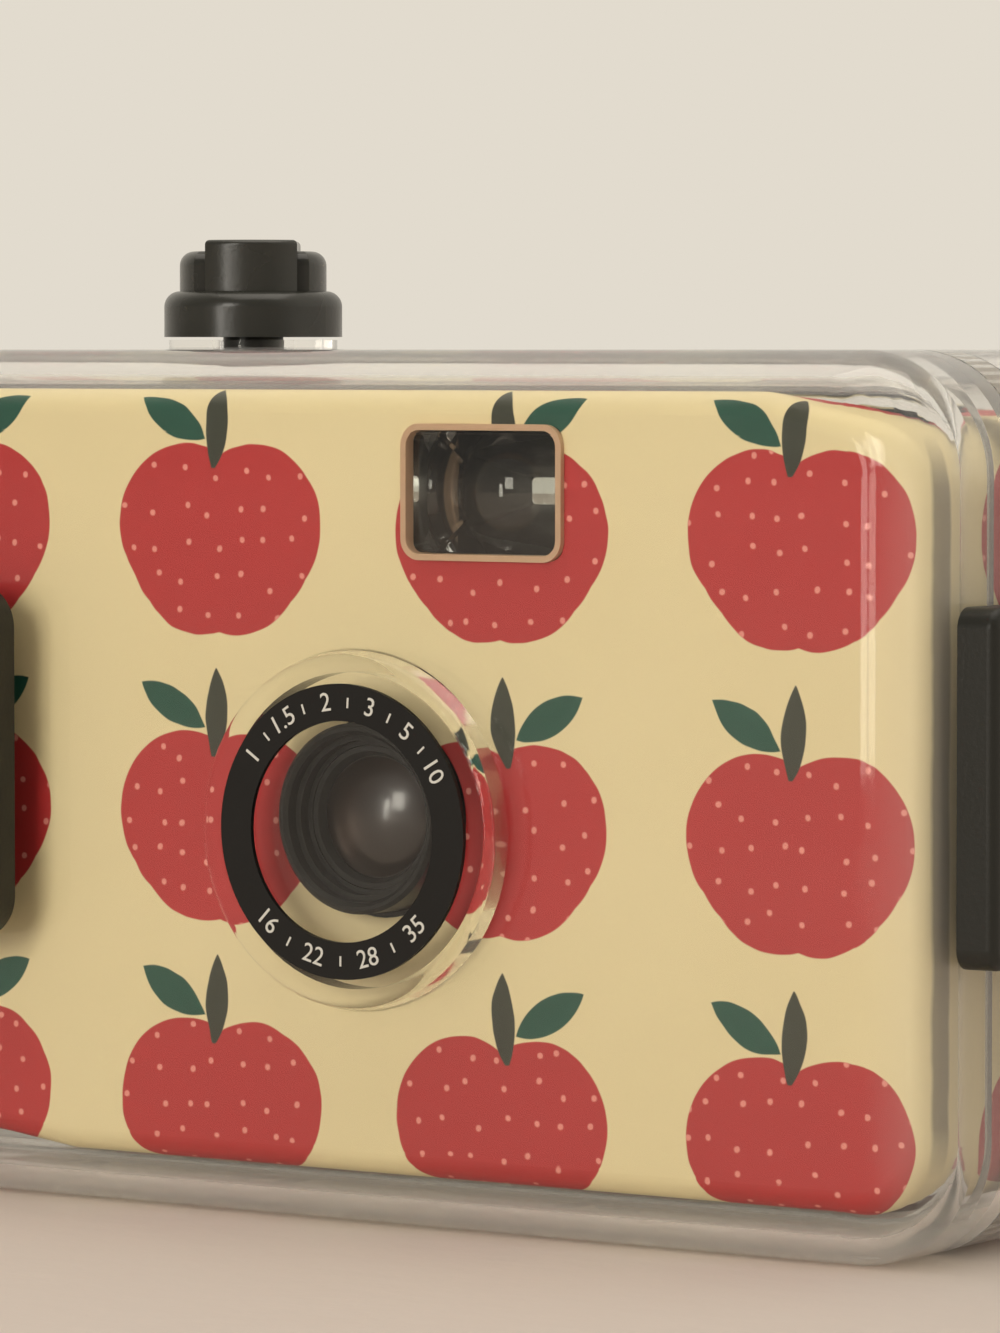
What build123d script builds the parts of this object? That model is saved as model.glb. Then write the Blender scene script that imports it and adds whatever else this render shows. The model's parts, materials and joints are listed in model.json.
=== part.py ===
from build123d import *
import os
from math import atan2, degrees, sqrt

os.makedirs("parts", exist_ok=True)

# Waterproof film camera, in millimetres. A small 35 mm camera stands inside a clear
# two-half case. The origin is on the case's bottom face, in the middle of its width and
# depth. X runs to the right and Z up as the camera is seen from the front, which is -Y.

# Case
case_width = 110.0
case_height = 69.1
case_depth = 39.0
case_wall = 2.0
case_corner = 9.5
case_edge = 6.5
front_depth = 14.0
seam_gap = 0.2
rim_thickness = 2.6
rim_depth = 3.0
rear_rim_depth = 5.6
gasket_width = 0.5
gasket_depth = 4.4

# Camera body inside the case
camera_side_gap = 0.9
camera_roof_gap = 1.5
camera_rear_gap = 3.0
camera_wall = 1.6
camera_corner = 6.0
camera_edge = 1.6
camera_front_gap = 2.2
camera_floor_gap = 2.3
shoulder_run = 13.9
right_drop = 3.26
left_drop = 5.43
left_rise = 3.15
rise_run = 24.1
back_depth = 4.8
wrap_thickness = 0.25
wrap_margin = 0.6

# Clearances
rest_gap = 0.1
running_fit = 0.05
seal_gap = 0.02
free_gap = 0.4

# Lens and its window in the case
lens_x = 3.2
lens_rise = 28.2
port_drop = 0.9
port_height = 1.8
port_window = 1.6
port_face_radius = 13.75
port_foot_radius = 14.5
port_cavity_radius = 12.4
port_edge = 0.8
port_ring_outer = 11.55
port_ring_inner = 8.65
port_ring_thickness = 0.4

# Winding knob on top of the case
knob_x = -24.6
knob_from_rear = 9.5
knob_skirt_radius = 7.4
knob_skirt_height = 3.8
knob_grip_radius = 6.1
knob_bar_width = 7.6
knob_bar_height = 4.2
knob_wing_width = 7.6
knob_wing_height = 3.3
knob_turn = -56.0
knob_boss_radius = 7.0
knob_boss_height = 0.8
knob_shaft_radius = 2.5

# Shutter lever on the front of the case
lever_x = -36.8
lever_pivot_z = 45.1
lever_top_z = 50.1
lever_length = 28.6
lever_width = 13.0
lever_thickness = 4.6
lever_corner = 3.5
lever_boss_radius = 4.0
lever_boss_height = 1.5
lever_shaft_radius = 2.25
arm_thickness = 0.8

# Hinge on the left side and latch on the right side
hinge_pin_radius = 1.0
knuckle_radius = 2.5
knuckle_count = 5
hinge_span = 36.0
latch_height = 27.0
latch_lift = 2.0
latch_thickness = 3.3
latch_reach = 22.4
latch_pivot_setback = 11.5
latch_barrel_radius = 2.1
latch_pin_radius = 0.9
latch_ear_thickness = 2.4

# Strap lug
lug_width = 5.6
lug_height = 9.0
lug_thickness = 3.2
lug_hole_radius = 2.0
lug_drop = 10.0
lug_from_rear = 11.5

# Viewfinder
finder_x = 12.9
finder_drop = 7.6
finder_width = 14.0
finder_height = 9.6
finder_corner = 1.2
finder_frame = 0.5
finder_lens_depth = 4.2
finder_lens_middle = 0.8
finder_lens_curve = 10.0

# Film path
frame_width = 36.0
frame_height = 24.0
film_height = 35.0
film_plane_inset = 3.7
sprocket_radius = 6.05
sprocket_teeth = 8
spool_chamber_radius = 10.0
spool_radius = 5.0
spool_from_rear = 14.5
cassette_slack = 0.5
chassis_wall = 0.8
chassis_lift = 4.6
chassis_drop = 10.5

# Gears between the sprocket shaft and the take-up spool
gear_module = 0.8
drive_teeth = 16
spool_teeth = 20
gear_thickness = 2.2
gear_drop = 9.3

# Thumbwheel, shutter button and rewind crank of the camera
wheel_radius = 10.3
wheel_thickness = 3.6
wheel_drop = 6.1
button_radius = 2.8
button_setback = 3.8
button_inset = 9.1
button_drop = 0.3
crank_radius = 7.3
crank_recess_radius = 7.9
crank_recess_depth = 2.9
crank_cup_wall = 1.2
fork_radius = 2.0

# Places worked out from the sizes above
case_front = -case_depth / 2
case_back = case_depth / 2
seam_y = case_front + front_depth
seam_front = seam_y - seam_gap / 2
seam_back = seam_y + seam_gap / 2
inner_front = case_front + case_wall
inner_back = case_back - case_wall
inner_top = case_height - case_wall
camera_width = case_width - 2 * (case_wall + camera_side_gap)
camera_height = case_height - 2 * case_wall - camera_floor_gap - camera_roof_gap
camera_thickness = case_depth - 2 * case_wall - camera_front_gap - camera_rear_gap
camera_half = camera_width / 2
camera_front = inner_front + camera_front_gap
camera_rear = camera_front + camera_thickness
cover_depth = camera_thickness - back_depth
camera_split = camera_front + cover_depth
camera_base = case_wall + camera_floor_gap
camera_top = camera_base + camera_height
lens_z = camera_base + lens_rise
port_x = lens_x
port_z = lens_z - port_drop
knob_y = camera_rear - knob_from_rear
hinge_centre_z = case_height / 2
latch_centre_z = case_height / 2 + latch_lift
latch_pivot_y = seam_y + latch_pivot_setback
finder_z = camera_top - finder_drop
chassis_floor_z = camera_base + chassis_lift
chassis_top_z = camera_top - chassis_drop
gear_z = camera_top - gear_drop
wheel_z = camera_top - wheel_drop
button_x = button_inset - camera_half
button_y = camera_front + button_setback
button_top_z = camera_top - button_drop
cassette_radius = camera_thickness / 2 - camera_wall - cassette_slack
film_y = camera_rear - film_plane_inset
port_face_y = case_front - port_height
hinge_x = -case_width / 2 - knuckle_radius - free_gap


def facing_front(y):
    """Upright plane at depth y, seen from the front: extruding from it goes forwards."""
    return Plane.XZ.offset(-y)


def level(z):
    """Level plane at height z: extruding from it goes up."""
    return Plane.XY.offset(z)


def case_outline(inset, mode=Mode.ADD):
    """Front view of the case for the sketch in hand, inset from its outer walls."""
    with Locations((0, case_height / 2)):
        RectangleRounded(
            case_width - 2 * inset, case_height - 2 * inset, case_corner - inset, mode=mode
        )


def save(builder, label):
    """Label a finished piece and write it."""
    builder.part.label = label
    export_step(builder.part, f"parts/{label}.step")


# Rear half of the case, which carries the camera
rib_width = 1.5
pad_radius = 3.0
bottom_rib_x = 28.0
top_rib_places = (-8.0, 14.0)
side_rib_places = (20.0, 48.0)
pad_places = ((-36.0, 16.0), (36.0, 16.0), (-36.0, 50.0), (36.0, 50.0))
inner_boss_radius = 6.8
boss_top_z = case_height + knob_boss_height
inner_boss_z = camera_top + 0.5
wall_middle = case_wall / 2
knuckle_pitch = hinge_span / knuckle_count
knuckle_length = knuckle_pitch - 0.3
hinge_base_z = hinge_centre_z - hinge_span / 2
latch_x = case_width / 2 + free_gap
latch_pivot_x = latch_x + latch_barrel_radius + 0.1
lug_z = case_height - lug_drop
lug_y = case_back - lug_from_rear

with BuildPart() as rear_shell:
    with BuildSketch(facing_front(case_back)):
        case_outline(0)
    extrude(amount=case_back - seam_back)
    fillet(rear_shell.faces().sort_by(Axis.Y)[-1].edges(), case_edge)
    offset(amount=-case_wall, openings=rear_shell.faces().sort_by(Axis.Y)[0])
    with BuildSketch(facing_front(seam_back + rear_rim_depth)):
        case_outline(wall_middle)
        case_outline(rim_thickness, mode=Mode.SUBTRACT)
    extrude(amount=rear_rim_depth)
    # Ribs that hold the camera from below, above and both sides
    rib_back_y = case_back - case_edge
    with BuildSketch(facing_front(rib_back_y)):
        for side in (-1, 1):
            with Locations((side * bottom_rib_x, wall_middle)):
                Rectangle(
                    rib_width, camera_base - rest_gap - wall_middle,
                    align=(Align.CENTER, Align.MIN),
                )
        for x in top_rib_places:
            with Locations((x, inner_top + wall_middle)):
                Rectangle(
                    rib_width, inner_top + wall_middle - camera_top - rest_gap,
                    align=(Align.CENTER, Align.MAX),
                )
        side_rib_length = case_width / 2 - wall_middle - camera_half - rest_gap
        for z in side_rib_places:
            with Locations((case_width / 2 - wall_middle, z)):
                Rectangle(side_rib_length, rib_width, align=(Align.MAX, Align.CENTER))
            with Locations((-case_width / 2 + wall_middle, z)):
                Rectangle(side_rib_length, rib_width, align=(Align.MIN, Align.CENTER))
    extrude(amount=rib_back_y - camera_split - rest_gap)
    # Pads behind the camera
    with BuildSketch(facing_front(inner_back + wall_middle)):
        with Locations(*pad_places):
            Circle(pad_radius)
    extrude(amount=inner_back + wall_middle - camera_rear - rest_gap)
    # Boss and bore for the winding knob's shaft
    with BuildSketch(level(inner_top + wall_middle)):
        with Locations((knob_x, knob_y)):
            Circle(knob_boss_radius)
    extrude(amount=boss_top_z - inner_top - wall_middle)
    with BuildSketch(level(inner_boss_z)):
        with Locations((knob_x, knob_y)):
            Circle(inner_boss_radius)
    extrude(amount=inner_top + wall_middle - inner_boss_z)
    with BuildSketch(level(boss_top_z)):
        with Locations((knob_x, knob_y)):
            Circle(knob_shaft_radius + running_fit)
    extrude(amount=inner_boss_z - boss_top_z, mode=Mode.SUBTRACT)
    # Hinge knuckles
    for index in range(0, knuckle_count, 2):
        with BuildSketch(level(hinge_base_z + index * knuckle_pitch)):
            with Locations((hinge_x, seam_y)):
                Circle(knuckle_radius)
            with Locations((hinge_x, seam_back)):
                Rectangle(
                    -case_width / 2 + wall_middle - hinge_x, knuckle_radius,
                    align=(Align.MIN, Align.MIN),
                )
        extrude(amount=knuckle_length)
    with BuildSketch(level(hinge_base_z)):
        with Locations((hinge_x, seam_y)):
            Circle(hinge_pin_radius + running_fit)
    extrude(amount=hinge_span, mode=Mode.SUBTRACT)
    # Ears that carry the latch's pin
    for ear_z in (
        latch_centre_z - latch_height / 2 - 0.3 - latch_ear_thickness,
        latch_centre_z + latch_height / 2 + 0.3,
    ):
        with BuildSketch(level(ear_z)):
            with Locations((latch_pivot_x, latch_pivot_y)):
                Circle(latch_barrel_radius)
            with Locations((latch_pivot_x, latch_pivot_y)):
                Rectangle(
                    latch_pivot_x - case_width / 2 + wall_middle, 2 * latch_barrel_radius,
                    align=(Align.MAX, Align.CENTER),
                )
            with Locations((latch_pivot_x, latch_pivot_y)):
                Circle(latch_pin_radius, mode=Mode.SUBTRACT)
        extrude(amount=latch_ear_thickness)
    # Strap lug on the left side
    with BuildSketch(facing_front(lug_y + lug_thickness / 2)):
        with Locations((-case_width / 2 + wall_middle, lug_z)):
            RectangleRounded(
                2 * (lug_width + wall_middle), lug_height, lug_height / 2 - 0.6
            )
        with Locations((-case_width / 2, lug_z)):
            Rectangle(
                2 * case_width, 2 * case_height, align=(Align.MIN, Align.CENTER),
                mode=Mode.SUBTRACT,
            )
        with Locations((-case_width / 2, lug_z)):
            Rectangle(wall_middle, lug_height, align=(Align.MIN, Align.CENTER))
        with Locations((-case_width / 2 - lug_width / 2, lug_z)):
            Circle(lug_hole_radius, mode=Mode.SUBTRACT)
    extrude(amount=lug_thickness)
    # Groove for the gasket
    groove_inset = (rim_thickness - gasket_width) / 2
    with BuildSketch(facing_front(seam_back + gasket_depth)):
        case_outline(groove_inset)
        case_outline(groove_inset + gasket_width, mode=Mode.SUBTRACT)
    extrude(amount=gasket_depth, mode=Mode.SUBTRACT)
save(rear_shell, "rear_shell")

# Gasket that fills the groove and seals against the front half
with BuildPart() as gasket:
    with BuildSketch(facing_front(seam_back + gasket_depth)):
        case_outline(groove_inset)
        case_outline(groove_inset + gasket_width, mode=Mode.SUBTRACT)
    extrude(amount=gasket_depth + seam_gap / 2)
save(gasket, "gasket")

# Front half of the case, the hinged cover
lever_boss_y = case_front - lever_boss_height
port_inner_y = port_face_y + port_window

with BuildPart() as front_shell:
    with BuildSketch(facing_front(seam_front)):
        case_outline(0)
    extrude(amount=seam_front - case_front)
    fillet(front_shell.faces().sort_by(Axis.Y)[0].edges(), case_edge)
    offset(amount=-case_wall, openings=front_shell.faces().sort_by(Axis.Y)[-1])
    with BuildSketch(facing_front(seam_front)):
        case_outline(wall_middle)
        case_outline(rim_thickness, mode=Mode.SUBTRACT)
    extrude(amount=rim_depth)
    # Lens port
    with BuildSketch(facing_front(case_front + wall_middle)):
        with Locations((port_x, port_z)):
            Circle(port_foot_radius)
    with BuildSketch(facing_front(port_face_y)):
        with Locations((port_x, port_z)):
            Circle(port_face_radius)
    loft()
    fillet(front_shell.faces().sort_by(Axis.Y)[0].edges(), port_edge)
    with BuildSketch(facing_front(inner_front + free_gap)):
        with Locations((port_x, port_z)):
            Circle(port_cavity_radius)
    extrude(amount=inner_front + free_gap - port_inner_y, mode=Mode.SUBTRACT)
    # Boss and bore for the shutter lever's shaft
    with BuildSketch(facing_front(case_front + wall_middle)):
        with Locations((lever_x, lever_pivot_z)):
            Circle(lever_boss_radius)
    extrude(amount=case_front + wall_middle - lever_boss_y)
    with BuildSketch(facing_front(inner_front + free_gap)):
        with Locations((lever_x, lever_pivot_z)):
            Circle(lever_shaft_radius + running_fit)
    extrude(amount=inner_front + free_gap - lever_boss_y, mode=Mode.SUBTRACT)
    # Hinge knuckles between those of the rear half
    for index in range(1, knuckle_count, 2):
        with BuildSketch(level(hinge_base_z + index * knuckle_pitch)):
            with Locations((hinge_x, seam_y)):
                Circle(knuckle_radius)
            with Locations((hinge_x, seam_front)):
                Rectangle(
                    -case_width / 2 + wall_middle - hinge_x, knuckle_radius,
                    align=(Align.MIN, Align.MAX),
                )
        extrude(amount=knuckle_length)
    with BuildSketch(level(hinge_base_z)):
        with Locations((hinge_x, seam_y)):
            Circle(hinge_pin_radius + running_fit)
    extrude(amount=hinge_span, mode=Mode.SUBTRACT)
save(front_shell, "front_shell")

# Hinge pin
with BuildPart() as hinge_pin:
    with BuildSketch(level(hinge_base_z - 0.5)):
        with Locations((hinge_x, seam_y)):
            Circle(hinge_pin_radius)
    extrude(amount=hinge_span + 0.7)
save(hinge_pin, "hinge_pin")

# Black trim ring on the lens port
with BuildPart() as port_ring:
    with BuildSketch(facing_front(port_face_y)):
        with Locations((port_x, port_z)):
            Circle(port_ring_outer)
            Circle(port_ring_inner, mode=Mode.SUBTRACT)
    extrude(amount=port_ring_thickness)
save(port_ring, "port_ring")

# Latch, a bar that swings on a pin and reaches forwards over the seam
latch_front_y = latch_pivot_y - latch_reach
latch_base_z = latch_centre_z - latch_height / 2
latch_corner = 1.6
ridge_count = 5
ridge_pitch = 1.6

with BuildPart() as latch:
    with BuildSketch(level(latch_base_z)):
        with Locations((latch_x, latch_front_y)):
            Rectangle(latch_thickness, latch_reach, align=(Align.MIN, Align.MIN))
        with Locations((latch_pivot_x, latch_pivot_y)):
            Circle(latch_barrel_radius)
            Circle(latch_pin_radius + running_fit, mode=Mode.SUBTRACT)
    extrude(amount=latch_height)
    # Rounded corners of the free end, seen from the side
    front_corners = latch.edges().filter_by(Axis.X).group_by(Axis.Y)[0]
    fillet(front_corners, latch_corner)
    outer_edges = latch.faces().filter_by(Axis.X).sort_by(Axis.X)[-1].edges()
    fillet(outer_edges.filter_by(lambda edge: edge.center().Y < latch_pivot_y - 0.5), 0.8)
    # Finger ridges, cut as shallow grooves into the outer face
    with BuildSketch(level(latch_base_z + latch_corner)):
        for index in range(ridge_count):
            with Locations(
                (latch_x + latch_thickness, latch_front_y + 2.6 + index * ridge_pitch)
            ):
                Rectangle(0.7, 0.7)
    extrude(amount=latch_height - 2 * latch_corner, mode=Mode.SUBTRACT)
save(latch, "latch")

# Pin through the latch and its two ears
with BuildPart() as latch_pin:
    with BuildSketch(level(latch_base_z - 0.3 - latch_ear_thickness)):
        with Locations((latch_pivot_x, latch_pivot_y)):
            Circle(latch_pin_radius)
    extrude(amount=latch_height + 2 * (0.3 + latch_ear_thickness))
save(latch_pin, "latch_pin")

# Winding knob: a skirt, two low wings and a taller bar across them
knob_base_z = boss_top_z + 0.25
knob_socket_depth = 5.0

with BuildPart() as winding_knob:
    with BuildSketch(level(knob_base_z)):
        with Locations((knob_x, knob_y)):
            Circle(knob_skirt_radius)
    extrude(amount=knob_skirt_height)
    fillet(winding_knob.edges().filter_by(GeomType.CIRCLE).group_by(Axis.Z)[-1], 1.3)
    with BuildSketch(level(knob_base_z + 1)):
        with Locations((knob_x, knob_y)):
            Circle(knob_grip_radius)
            Rectangle(
                2 * knob_skirt_radius, knob_wing_width, rotation=knob_turn + 90,
                mode=Mode.INTERSECT,
            )
    extrude(amount=knob_skirt_height + knob_wing_height - 1)
    fillet(winding_knob.faces().sort_by(Axis.Z)[-1].edges(), 1.2)
    with BuildSketch(level(knob_base_z + 1)):
        with Locations((knob_x, knob_y)):
            Circle(knob_grip_radius)
            Rectangle(
                2 * knob_skirt_radius, knob_bar_width, rotation=knob_turn,
                mode=Mode.INTERSECT,
            )
    extrude(amount=knob_skirt_height + knob_bar_height - 1)
    fillet(winding_knob.faces().sort_by(Axis.Z)[-1].edges(), 0.4)
    with BuildSketch(level(knob_base_z)):
        with Locations((knob_x, knob_y)):
            Circle(knob_shaft_radius)
    extrude(amount=knob_socket_depth, mode=Mode.SUBTRACT)
save(winding_knob, "winding_knob")

# Knob shaft, with a groove for its seal ring and a flat blade that turns the thumbwheel
clip_z = inner_boss_z - 0.2
clip_thickness = 0.6
clip_groove_radius = 1.9
seal_groove_depth = 0.9
seal_groove_length = 1.3
knob_seal_z = inner_top + 0.6
blade_length = 3.6
blade_thickness = 1.2
blade_base_z = wheel_z + 0.6

with BuildPart() as knob_shaft:
    with BuildSketch(level(clip_z - clip_thickness - 0.5)):
        with Locations((knob_x, knob_y)):
            Circle(knob_shaft_radius)
    extrude(amount=knob_base_z + knob_socket_depth - clip_z + clip_thickness + 0.5)
    with BuildSketch(level(knob_seal_z)):
        with Locations((knob_x, knob_y)):
            Circle(knob_shaft_radius)
            Circle(knob_shaft_radius - seal_groove_depth, mode=Mode.SUBTRACT)
    extrude(amount=seal_groove_length, mode=Mode.SUBTRACT)
    with BuildSketch(level(clip_z - clip_thickness)):
        with Locations((knob_x, knob_y)):
            Circle(knob_shaft_radius)
            Circle(clip_groove_radius, mode=Mode.SUBTRACT)
    extrude(amount=clip_thickness, mode=Mode.SUBTRACT)
    with BuildSketch(level(blade_base_z)):
        with Locations((knob_x, knob_y)):
            Rectangle(blade_length, blade_thickness)
    extrude(amount=clip_z - clip_thickness - blade_base_z)
save(knob_shaft, "knob_shaft")

with BuildPart() as knob_seal:
    with BuildSketch(level(knob_seal_z)):
        with Locations((knob_x, knob_y)):
            Circle(knob_shaft_radius + running_fit - seal_gap)
            Circle(knob_shaft_radius - seal_groove_depth, mode=Mode.SUBTRACT)
    extrude(amount=seal_groove_length)
save(knob_seal, "knob_seal")

# Spring clip that keeps the shaft in its boss, open on one side
clip_radius = 3.9
with BuildPart() as knob_clip:
    with BuildSketch(level(clip_z - clip_thickness)):
        with Locations((knob_x, knob_y)):
            Circle(clip_radius)
            Circle(clip_groove_radius, mode=Mode.SUBTRACT)
            Rectangle(clip_radius + 1, 2.4, align=(Align.MIN, Align.CENTER), mode=Mode.SUBTRACT)
    extrude(amount=clip_thickness)
save(knob_clip, "knob_clip")

# Shutter lever, an upright bar that turns on a shaft through the front wall
lever_back_y = case_front - 0.5
lever_front_y = lever_back_y - lever_thickness
lever_recess_radius = lever_boss_radius + 1.2
lever_recess_depth = lever_boss_height + 0.3 - (case_front - lever_back_y)
screw_head_radius = 2.1
screw_head_depth = 1.0
screw_radius = 1.0
screw_length = 4.0

with BuildPart() as shutter_lever:
    with BuildSketch(facing_front(lever_back_y)):
        with Locations((lever_x, lever_top_z - lever_length / 2)):
            RectangleRounded(lever_width, lever_length, lever_corner)
    extrude(amount=lever_thickness)
    fillet(shutter_lever.faces().sort_by(Axis.Y)[0].edges(), 1.4)
    # Recess that covers the boss in the case wall
    with BuildSketch(facing_front(lever_back_y)):
        with Locations((lever_x, lever_pivot_z)):
            Circle(lever_recess_radius)
    extrude(amount=lever_recess_depth, mode=Mode.SUBTRACT)
    with BuildSketch(facing_front(lever_back_y)):
        with Locations((lever_x, lever_pivot_z)):
            Circle(lever_shaft_radius)
    extrude(amount=lever_thickness - screw_head_depth - 0.6, mode=Mode.SUBTRACT)
    with BuildSketch(facing_front(lever_back_y)):
        with Locations((lever_x, lever_pivot_z)):
            Circle(screw_radius)
    extrude(amount=lever_thickness, mode=Mode.SUBTRACT)
    with BuildSketch(facing_front(lever_front_y + screw_head_depth)):
        with Locations((lever_x, lever_pivot_z)):
            Circle(screw_head_radius)
    extrude(amount=screw_head_depth, mode=Mode.SUBTRACT)
save(shutter_lever, "shutter_lever")

# Screw that holds the lever on its shaft
with BuildPart() as lever_screw:
    with BuildSketch(facing_front(lever_front_y + screw_head_depth)):
        with Locations((lever_x, lever_pivot_z)):
            Circle(screw_head_radius - rest_gap)
    extrude(amount=screw_head_depth - 0.15)
    with BuildSketch(facing_front(lever_front_y + screw_head_depth + screw_length)):
        with Locations((lever_x, lever_pivot_z)):
            Circle(screw_radius)
    extrude(amount=screw_length)
    with BuildSketch(facing_front(lever_front_y + 0.6)):
        with Locations((lever_x, lever_pivot_z)):
            Rectangle(2.6, 0.55)
            Rectangle(0.55, 2.6)
    extrude(amount=1, mode=Mode.SUBTRACT)
save(lever_screw, "lever_screw")

# Lever shaft with its seal groove
arm_front_y = inner_front + 0.55
arm_back_y = arm_front_y + arm_thickness
shaft_front_y = lever_front_y + screw_head_depth + 0.6
lever_seal_y = case_front + 0.2

with BuildPart() as lever_shaft:
    with BuildSketch(facing_front(arm_back_y)):
        with Locations((lever_x, lever_pivot_z)):
            Circle(lever_shaft_radius)
            Circle(screw_radius, mode=Mode.SUBTRACT)
    extrude(amount=arm_back_y - shaft_front_y)
    with BuildSketch(facing_front(arm_back_y)):
        with Locations((lever_x, lever_pivot_z)):
            Circle(screw_radius)
    extrude(amount=arm_back_y - (lever_front_y + screw_head_depth + screw_length))
    with BuildSketch(facing_front(lever_seal_y)):
        with Locations((lever_x, lever_pivot_z)):
            Circle(lever_shaft_radius)
            Circle(lever_shaft_radius - 0.7, mode=Mode.SUBTRACT)
    extrude(amount=seal_groove_length, mode=Mode.SUBTRACT)
save(lever_shaft, "lever_shaft")

with BuildPart() as lever_seal:
    with BuildSketch(facing_front(lever_seal_y)):
        with Locations((lever_x, lever_pivot_z)):
            Circle(lever_shaft_radius + running_fit - seal_gap)
            Circle(lever_shaft_radius - 0.7, mode=Mode.SUBTRACT)
    extrude(amount=seal_groove_length)
save(lever_seal, "lever_seal")

# Return spring of the lever, coiled round the boss inside the lever's recess
spring_wire = 0.5
with BuildPart() as lever_spring:
    with BuildSketch(facing_front(case_front - 0.1)):
        with Locations((lever_x, lever_pivot_z)):
            Circle(lever_boss_radius + 0.1 + spring_wire)
            Circle(lever_boss_radius + 0.1, mode=Mode.SUBTRACT)
    extrude(amount=2 * spring_wire)
save(lever_spring, "lever_spring")

# Bent steel arm inside the case, from the lever's shaft to the shutter button
arm_width = 4.4
tab_width = 4.0
tab_z = button_top_z + 0.2
tab_thickness = 0.7
bend_z = tab_z - 2.3
bend_run = 2.5
tab_rear_y = button_y + 2.5
with BuildPart() as lever_arm:
    with BuildSketch(facing_front(arm_back_y)):
        with Locations((lever_x, lever_pivot_z)):
            Circle(arm_width * 0.8)
        Polygon(
            (lever_x - arm_width / 2, lever_pivot_z),
            (lever_x + arm_width / 2, lever_pivot_z),
            (button_x + tab_width / 2, bend_z),
            (button_x - tab_width / 2, bend_z),
            align=None,
        )
        with Locations((lever_x, lever_pivot_z)):
            Circle(lever_shaft_radius, mode=Mode.SUBTRACT)
    extrude(amount=arm_thickness)
    # Bent upper end, which leans back under the case's rounded edge
    with BuildSketch(Plane.YZ.offset(button_x - tab_width / 2)):
        Polygon(
            (arm_front_y, bend_z),
            (arm_front_y + bend_run, tab_z + tab_thickness),
            (tab_rear_y, tab_z + tab_thickness),
            (tab_rear_y, tab_z),
            (arm_back_y + bend_run - 0.2, tab_z),
            (arm_back_y, bend_z),
            align=None,
        )
    extrude(amount=tab_width)
save(lever_arm, "lever_arm")

# Outline of the camera seen from the front, with a sloping shoulder at each end
with BuildSketch(Plane.XZ) as camera_profile:
    with BuildLine():
        Polyline(
            (-camera_half, camera_base + left_rise),
            (rise_run - camera_half, camera_base),
            (camera_half, camera_base),
            (camera_half, camera_top - right_drop),
            (camera_half - shoulder_run, camera_top),
            (-camera_half + shoulder_run, camera_top),
            (-camera_half, camera_top - left_drop),
            close=True,
        )
    make_face()
    fillet(camera_profile.vertices(), camera_corner)


def camera_outline(inset=0.0, mode=Mode.ADD):
    """Camera's front view for the sketch in hand, inset from its outer faces."""
    outline = camera_profile.sketch_local
    if inset:
        outline = offset(outline, amount=-inset, mode=Mode.PRIVATE)
    add(outline, mode=mode)


# Front cover of the camera
barrel_radius = 7.5
barrel_hole_radius = barrel_radius + rest_gap
finder_hole_wall = 0.3
finder_hole_width = finder_width + 2 * finder_hole_wall
finder_hole_height = finder_height + 2 * finder_hole_wall
cover_inner_y = camera_front + camera_wall
cassette_x = camera_half - camera_wall - 0.3 - chassis_wall - cassette_radius
cassette_y = cover_inner_y + 0.2 + chassis_wall + cassette_radius
crank_floor_z = camera_top - crank_recess_depth
counter_x = -5.0
counter_from_rear = 14.0
counter_y = camera_rear - counter_from_rear
counter_radius = 8.0
counter_window_width = 5.0
counter_window_depth = 3.4
counter_window_y = counter_y - 5.0

# Inside of the cover, which leaves the cup for the rewind crank standing
with BuildPart() as cover_cavity:
    with BuildSketch(facing_front(camera_split)):
        camera_outline(camera_wall)
    extrude(amount=cover_depth - camera_wall)
    with BuildSketch(level(crank_floor_z - crank_cup_wall)):
        with Locations((cassette_x, cassette_y)):
            Circle(crank_recess_radius + crank_cup_wall)
    extrude(amount=camera_height, mode=Mode.SUBTRACT)

with BuildPart() as camera_front_cover:
    with BuildSketch(facing_front(camera_split)):
        camera_outline()
    extrude(amount=cover_depth)
    fillet(camera_front_cover.faces().sort_by(Axis.Y)[0].edges(), camera_edge)
    add(cover_cavity.part, mode=Mode.SUBTRACT)
    # Cup for the rewind crank
    with BuildSketch(level(crank_floor_z)):
        with Locations((cassette_x, cassette_y)):
            Circle(crank_recess_radius)
    extrude(amount=camera_top - crank_floor_z + 1, mode=Mode.SUBTRACT)
    with BuildSketch(level(crank_floor_z - crank_cup_wall)):
        with Locations((cassette_x, cassette_y)):
            Circle(fork_radius + 0.3)
    extrude(amount=crank_cup_wall, mode=Mode.SUBTRACT)
    # Openings for the lens barrel and the viewfinder
    with BuildSketch(facing_front(cover_inner_y + 1)):
        with Locations((lens_x, lens_z)):
            Circle(barrel_hole_radius)
        with Locations((finder_x, finder_z)):
            RectangleRounded(finder_hole_width, finder_hole_height, finder_corner)
    extrude(amount=camera_wall + 2, mode=Mode.SUBTRACT)
    # Openings in the top for the knob's clip, the shutter button and the film counter
    with BuildSketch(level(camera_top - left_drop - 3)):
        with Locations((knob_x, knob_y)):
            Circle(clip_radius + 0.7)
        with Locations((button_x, button_y)):
            Circle(button_radius + 0.2)
        with Locations((counter_x, counter_window_y)):
            RectangleRounded(counter_window_width, counter_window_depth, 0.8)
    extrude(amount=left_drop + 4, mode=Mode.SUBTRACT)
save(camera_front_cover, "camera_front_cover")

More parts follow.
